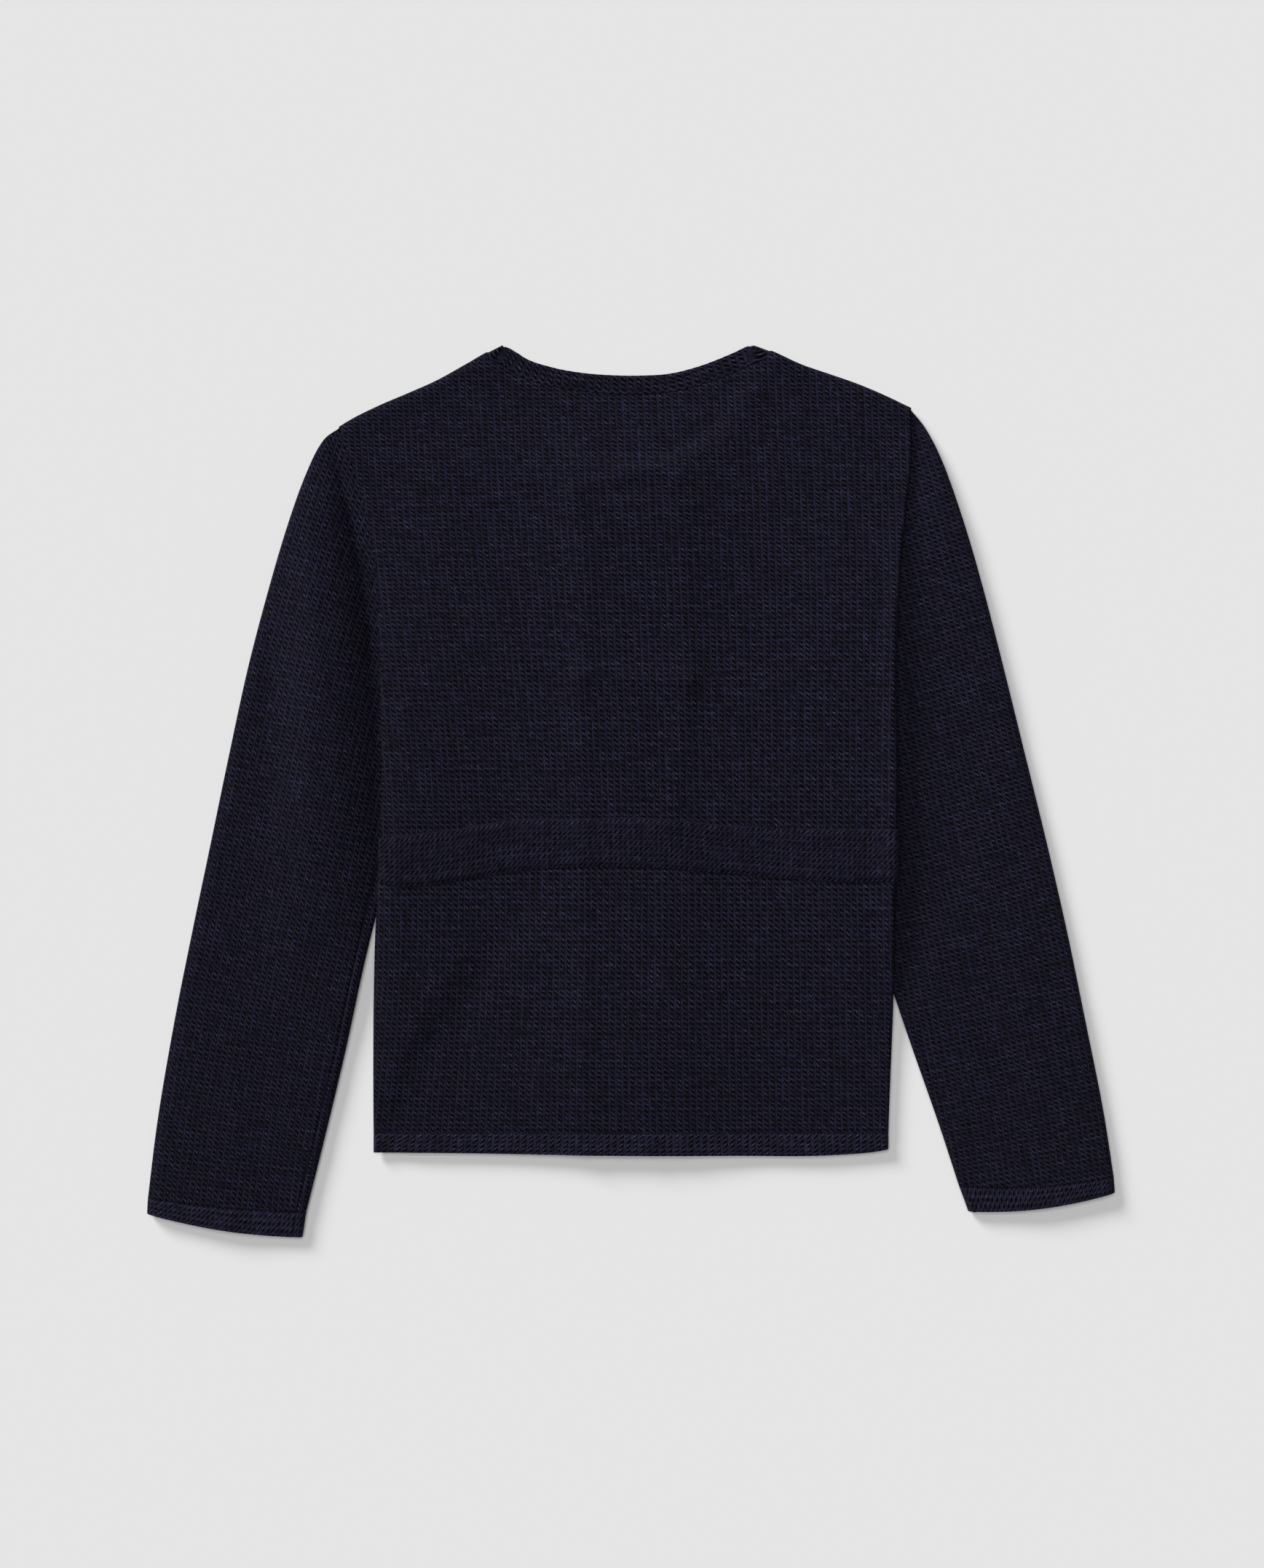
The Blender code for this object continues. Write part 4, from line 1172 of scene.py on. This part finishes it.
def sleeve_top(x, y, from_inner, side):
    """Height of the sleeve's upper face."""
    table = LEFT_SWELL if side < 0 else RIGHT_SWELL
    hollow, crest, height = (curve(table, "y", name)(y) for name in ("hollow", "crest", "height"))
    t = clamp((x - hollow) / (crest - hollow))
    arc = 1.0 - (1.0 - t) ** 2.5 if side < 0 else t * t * (3.0 - 2.0 * t)
    free = soft_ramp(y, -125.0, -70.0)  # below, the inner fold lies free of the body
    rise = arc * (1.0 - free) + free
    past = clamp((x - crest) / (side * 30.0))
    outward = past * past * (3.0 - 2.0 * past)
    crest_z = height + (8.8 - height) * outward
    z = HOLLOW + (crest_z - HOLLOW) * rise
    z = z - SEAM_GROOVE * np.exp(-0.5 * ((from_inner - SEAM_IN) / 0.5) ** 2)
    return z + 0.3 * waves(x, y, 11 if side < 0 else 12, 40.0) * rise


EDGE_COLUMN, TOP_COLUMN = 8, 16  # columns of a ring: the outermost one, and the first of the top
FOLD_COLUMNS, BENEATH_COLUMNS = 14, 32  # in the inner fold, and beneath


def sleeve_ring(line, side, across, flat_steps=BENEATH_COLUMNS + 2):
    """The outer face round a flattened sleeve: over the top from the outer fold, and back beneath."""
    length = path_length(line)[-1]

    def at(distance):
        return share_points(line, distance / length)

    outer_reach, outer_low = 6.5, 4.4
    top_d = np.linspace(outer_reach, length - 9.0, across)
    top_d = np.concatenate([top_d, length - np.array([7.6, 6.7, 6.1, 5.6, 5.2, 4.8, 4.4, 4.0])])
    xy = at(top_d)
    top_z = sleeve_top(xy[:, 0], xy[:, 1], length - top_d, side)

    turn = np.linspace(0.0, pi / 2, 9)
    # the outer fold, from below to the top
    low_d, low_z = outer_low * (1 - np.sin(turn)), outer_low * (1 - np.cos(turn))
    high_d = outer_reach * (1 - np.cos(turn[1:-1]))
    high_z = outer_low + (top_z[0] - outer_low) * np.sin(turn[1:-1])
    # the inner fold, from the top to below
    radius = top_z[-1] / 2
    half = np.linspace(0.0, pi, 15)[1:]
    end_d = length - radius + radius * np.sin(half)
    start_d = top_d[-1]
    end_d = np.where(half < pi / 2, start_d + (length - start_d) * np.sin(half), end_d)
    end_z = radius + radius * np.cos(half)
    bottom_d = np.linspace(length - radius, outer_low, flat_steps)[1:-1]
    distance = np.concatenate([low_d, high_d, top_d, end_d, bottom_d])
    z = np.concatenate([low_z, high_z, top_z, end_z, np.zeros(len(bottom_d))])
    place = at(distance)
    return np.column_stack([place, z]), distance


def sleeve_uv(grid, sections, side):
    """Wales run beside the outer edge, also round the cap, and meet in the seam beneath the arm."""
    line = np.array([(s.outer_x, s.outer_y) for s in read_sections(sections, np.linspace(0, 8, 49))])
    line = np.vstack([line, line[-1] + 12.0 * (line[-1] - line[-5])])
    x, y = grid[..., 0], grid[..., 1]
    away, station = np.full(x.shape, np.inf), np.zeros(x.shape)
    start = 0.0
    for a, b in zip(line, line[1:]):
        length = np.hypot(*(b - a))
        d, t = to_segment(a, b, x, y)
        station = np.where(d < away, start + t * length, station)
        away = np.minimum(away, d)
        start += length
    steps = np.linalg.norm(np.diff(grid, axis=1), axis=2)
    walk = np.concatenate([np.zeros((len(grid), 1)), np.cumsum(steps, axis=1)], axis=1)
    walk = walk - walk[:, EDGE_COLUMN, None]
    last = grid.shape[1] - BENEATH_COLUMNS - FOLD_COLUMNS - 1  # the last column of the top
    u = walk + (away - walk)[:, TOP_COLUMN, None]
    top = slice(TOP_COLUMN, last + 1)
    u[:, top] = away[:, top]
    inner = slice(last + 1, last + 1 + FOLD_COLUMNS)
    u[:, inner] = u[:, last, None] + walk[:, inner] - walk[:, last, None]
    beneath = slice(-BENEATH_COLUMNS, None)
    u[:, beneath] = u[:, 0, None] + away[:, 0, None] - away[:, beneath]
    return np.stack([-side * u / SLEEVE_WALE, station / SLEEVE_COURSE], axis=-1)


def build_sleeve(side, sections, mouth, cuff_end, name, knit, rib, node):
    mouth = np.array(mouth, float)
    keys = np.array([p[1] for p in mouth])[::-1]
    dense_y = np.linspace(mouth[0][1], mouth[-1][1], 80)
    mouth = np.column_stack([*smooth_columns(keys, mouth[::-1, :1], dense_y), dense_y])

    first, second = sections[0], sections[1]
    at = np.concatenate([[0.0], np.linspace(0.02, 1.0, 20), np.linspace(1, 11, 121)[1:]])
    rings, distances = [], []
    for section in read_sections(sections, at):
        ring, distance = sleeve_ring(section_line(section, mouth), side, 38)
        rings.append(ring)
        distances.append(distance)
    grid = np.array(rings)
    # the cuff seam is drawn in
    axis = np.array([second.outer_x - first.outer_x + second.inner_x - first.inner_x,
                     second.outer_y - first.outer_y + second.inner_y - first.inner_y])
    axis = axis / np.hypot(*axis)
    origin = np.array([(first.outer_x + first.inner_x) / 2, (first.outer_y + first.inner_y) / 2])
    along = (grid[..., :2] - origin) @ axis
    curl = 0.5 * soft_ramp(along, -0.6, 3.0)
    grid[..., 2] = np.where(grid[..., 2] > 3.0, grid[..., 2] - curl, grid[..., 2])
    uv = sleeve_uv(grid, sections, side)
    if side > 0:
        grid, uv = grid[::-1], uv[::-1]
    obj = shell("Sleeve" + name, grid, uv, knit, closed=True)
    declare(node)

    # cuff
    cuff_start = Section(*(p - (q - p) * 0.015 for p, q in zip(first, cuff_end)))
    rings, along = [], []
    for share in (1.0, 0.97, 0.9, 0.8, 0.65, 0.5, 0.35, 0.2, 0.1, 0.03, 0.0):
        section = Section(*(p + (q - p) * share for p, q in zip(cuff_start, cuff_end)))
        ring, distance = sleeve_ring(section_line(section, mouth), side, 180, 150)
        dip = 0.5 * float(soft_ramp(share, 0.0, 0.24)) + 0.8 * float(soft_ramp(1 - share, 0.0, 0.24))
        ring[:, 2] = np.where(ring[:, 2] > 3.0, ring[:, 2] - dip, ring[:, 2])
        rings.append(ring)
        along.append(-share * 10.0 / 2.6)
    grid = np.array(rings)
    line = grid[5]
    walk = path_length(line)
    total = walk[-1] + np.linalg.norm(line[0] - line[-1])
    ribs = round(total / CUFF_RIB_PITCH)
    number = walk / total * ribs
    wave = np.where(grid[..., 2] < 0.6, 0.0, rib_wave(number, 0.1) - 0.1)
    uv = np.stack(np.broadcast_arrays(-side * number[None, :], np.array(along)[:, None]), axis=-1)
    # rows run from the free end to the seam on the left, and the other way on the right
    if side > 0:
        grid, uv, wave = grid[::-1], uv[::-1], wave[::-1]
    grid = raised(grid, wave, closed=True)
    obj = shell("Cuff" + name, grid, np.ascontiguousarray(uv), rib, closed=True, turn=(-side * ribs, 0.0))
    declare("cuff_" + node.split("_")[1])


# Belt


def build_belt(rib):
    start, end = -138.7, 149.0
    x_line = np.linspace(start, end, 110)
    turn = np.linspace(0.0, radians(50.0), 7)[1:]
    wide = np.array([LEFT_FOLD, RIGHT_FOLD]) + SEAM + WALL
    tall = np.array([fold_height(-1, -38.0), fold_height(1, -38.0)]) + SEAM + WALL
    x_all = np.concatenate([start - wide[0] * np.sin(turn[::-1]), x_line, end + wide[1] * np.sin(turn)])
    drop = np.concatenate(
        [tall[0] * (1 - np.cos(turn[::-1])), np.zeros(len(x_line)), tall[1] * (1 - np.cos(turn))]
    )
    shares = np.linspace(0.0, 1.0, BELT_RIBS * 9 + 1)
    rows, uvs = [], []
    for share in shares:
        low, high = belt_line(x_all, "low"), belt_line(x_all, "high")
        y = low + share * (high - low)
        inside = np.clip(x_all, start, end)
        z = back_z(inside, y) + HALF + 0.35 + WALL - drop
        edge = np.minimum(share, 1 - share) * (high - low)
        number = share * BELT_RIBS + 0.10 * waves(x_all, y * 3, 31, 60.0)
        ribbed = soft_ramp(-edge, -4.6, -3.4)
        wave = rib_wave(number, 0.09) * ribbed + 0.09 * (1 - ribbed)
        z = z + wave - 1.2 * soft_ramp(edge, 0.0, 3.2)
        rows.append(np.stack([x_all, y, z], axis=-1))
        uvs.append(np.stack([number, x_all / 2.9], axis=-1))
    obj = shell("Belt", np.array(rows), np.array(uvs), rib, wall=WALL - 0.1)
    declare("belt")


# Buttons


# Radius and height of the outline, from the middle of the back over the rim to the middle of the face
BUTTON_PROFILE = (
    (0.0, BUTTON_HEIGHT), (7.4, BUTTON_HEIGHT), (7.8, 2.4), (BUTTON_RADIUS, 2.0), (BUTTON_RADIUS, 0.7),
    (7.8, 0.25), (7.3, 0.0), (6.6, 0.0), (6.1, 0.2), (5.7, 0.7), (5.2, 0.9), (0.0, 0.9),
)


def build_button(node, x, y, mat):
    bm = bmesh.new()
    steps = 48
    rings = []
    for r, z in BUTTON_PROFILE:
        if r == 0.0:
            rings.append([bm.verts.new((0.0, 0.0, z * METRES))])
        else:
            rings.append([
                bm.verts.new((r * METRES * np.cos(a), r * METRES * np.sin(a), z * METRES))
                for a in np.linspace(0.0, 2 * pi, steps, endpoint=False)
            ])
    for low, high in zip(rings, rings[1:]):
        for i in range(steps):
            j = (i + 1) % steps
            if len(low) == 1:
                bm.faces.new((low[0], high[i], high[j]))
            elif len(high) == 1:
                bm.faces.new((low[i], high[0], low[j]))
            else:
                bm.faces.new((low[i], high[i], high[j], low[j]))
    bmesh.ops.recalc_face_normals(bm, faces=bm.faces)
    mesh = bpy.data.meshes.new(node)
    bm.to_mesh(mesh)
    bm.free()
    mesh.materials.append(mat)
    obj = put("B" + node[1:], mesh)
    obj.location = (x * METRES, y * METRES, 0.0)
    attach(obj, "root")
    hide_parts(node)


# Room


Sun = namedtuple("Sun", "name strength azimuth elevation angle")
SUNS = (Sun("Key", 2.55, 132.0, 27.0, 22.0), Sun("Overhead", 1.78, 125.0, 82.0, 34.0))
WORLD_STRENGTH = 0.05
FLOOR_SHADE = 0.8
FLOOR_DROP = 0.3
CAMERA_AT = (0.6, 4.4, 2497.0)
CAMERA_LENS = 100.0


def build_room():
    mesh = bpy.data.meshes.new("Floor")
    mesh.from_pydata([(-4, -4, 0), (4, -4, 0), (4, 4, 0), (-4, 4, 0)], [], [(0, 1, 2, 3)])
    floor = put("Floor", mesh)
    floor.location.z = -FLOOR_DROP * METRES
    s = Surface("Floor")
    grey = (FLOOR_SHADE, FLOOR_SHADE, FLOOR_SHADE, 1.0)
    s.give(s.shader, Base_Color=grey, Roughness=1.0, Specular_IOR_Level=0.0)
    mesh.materials.append(s.material)

    for sun in SUNS:
        data = bpy.data.lights.new(sun.name, "SUN")
        data.energy = sun.strength
        data.angle = radians(sun.angle)
        turn = (radians(90.0 - sun.elevation), 0.0, radians(sun.azimuth + 90.0))
        put(sun.name, data).rotation_euler = turn

    world = bpy.data.worlds.new("World")
    bpy.context.scene.world = world
    world.use_nodes = True
    background = world.node_tree.nodes["Background"]
    background.inputs["Color"].default_value = (1.0, 1.0, 1.0, 1.0)
    background.inputs["Strength"].default_value = WORLD_STRENGTH

    camera = bpy.data.cameras.new("Camera")
    camera.lens = CAMERA_LENS
    camera.sensor_width = 36.0
    camera.clip_end = 20.0
    obj = put("Camera", camera)
    obj.location = [value * METRES for value in CAMERA_AT]
    bpy.context.scene.camera = obj
    bpy.context.scene.view_settings.view_transform = "Standard"


def main():
    knit = stitch_material("Knit", KNIT, tint=(1.0, 1.0, 1.0))
    rib = stitch_material("Rib", EDGE_RIB)
    build_back(knit)
    build_fronts(knit, rib)
    build_hems(rib)
    build_neck_band(stitch_material("NeckRib", RIB, seam=-3.45))
    build_sleeve(-1, LEFT_SLEEVE, LEFT_ARMHOLE, LEFT_CUFF_END, "Left", knit, rib, "sleeve_left")
    build_sleeve(1, RIGHT_SLEEVE, RIGHT_ARMHOLE, RIGHT_CUFF_END, "Right", knit, rib, "sleeve_right")
    build_belt(stitch_material("BeltRib", BELT_RIB))
    button = button_material()
    for number, row in enumerate(BUTTON_ROWS, start=1):
        build_button(f"button_l{number}", -BUTTON_X, row.y, button)
        build_button(f"button_r{number}", BUTTON_X, row.y, button)
    build_room()


main()
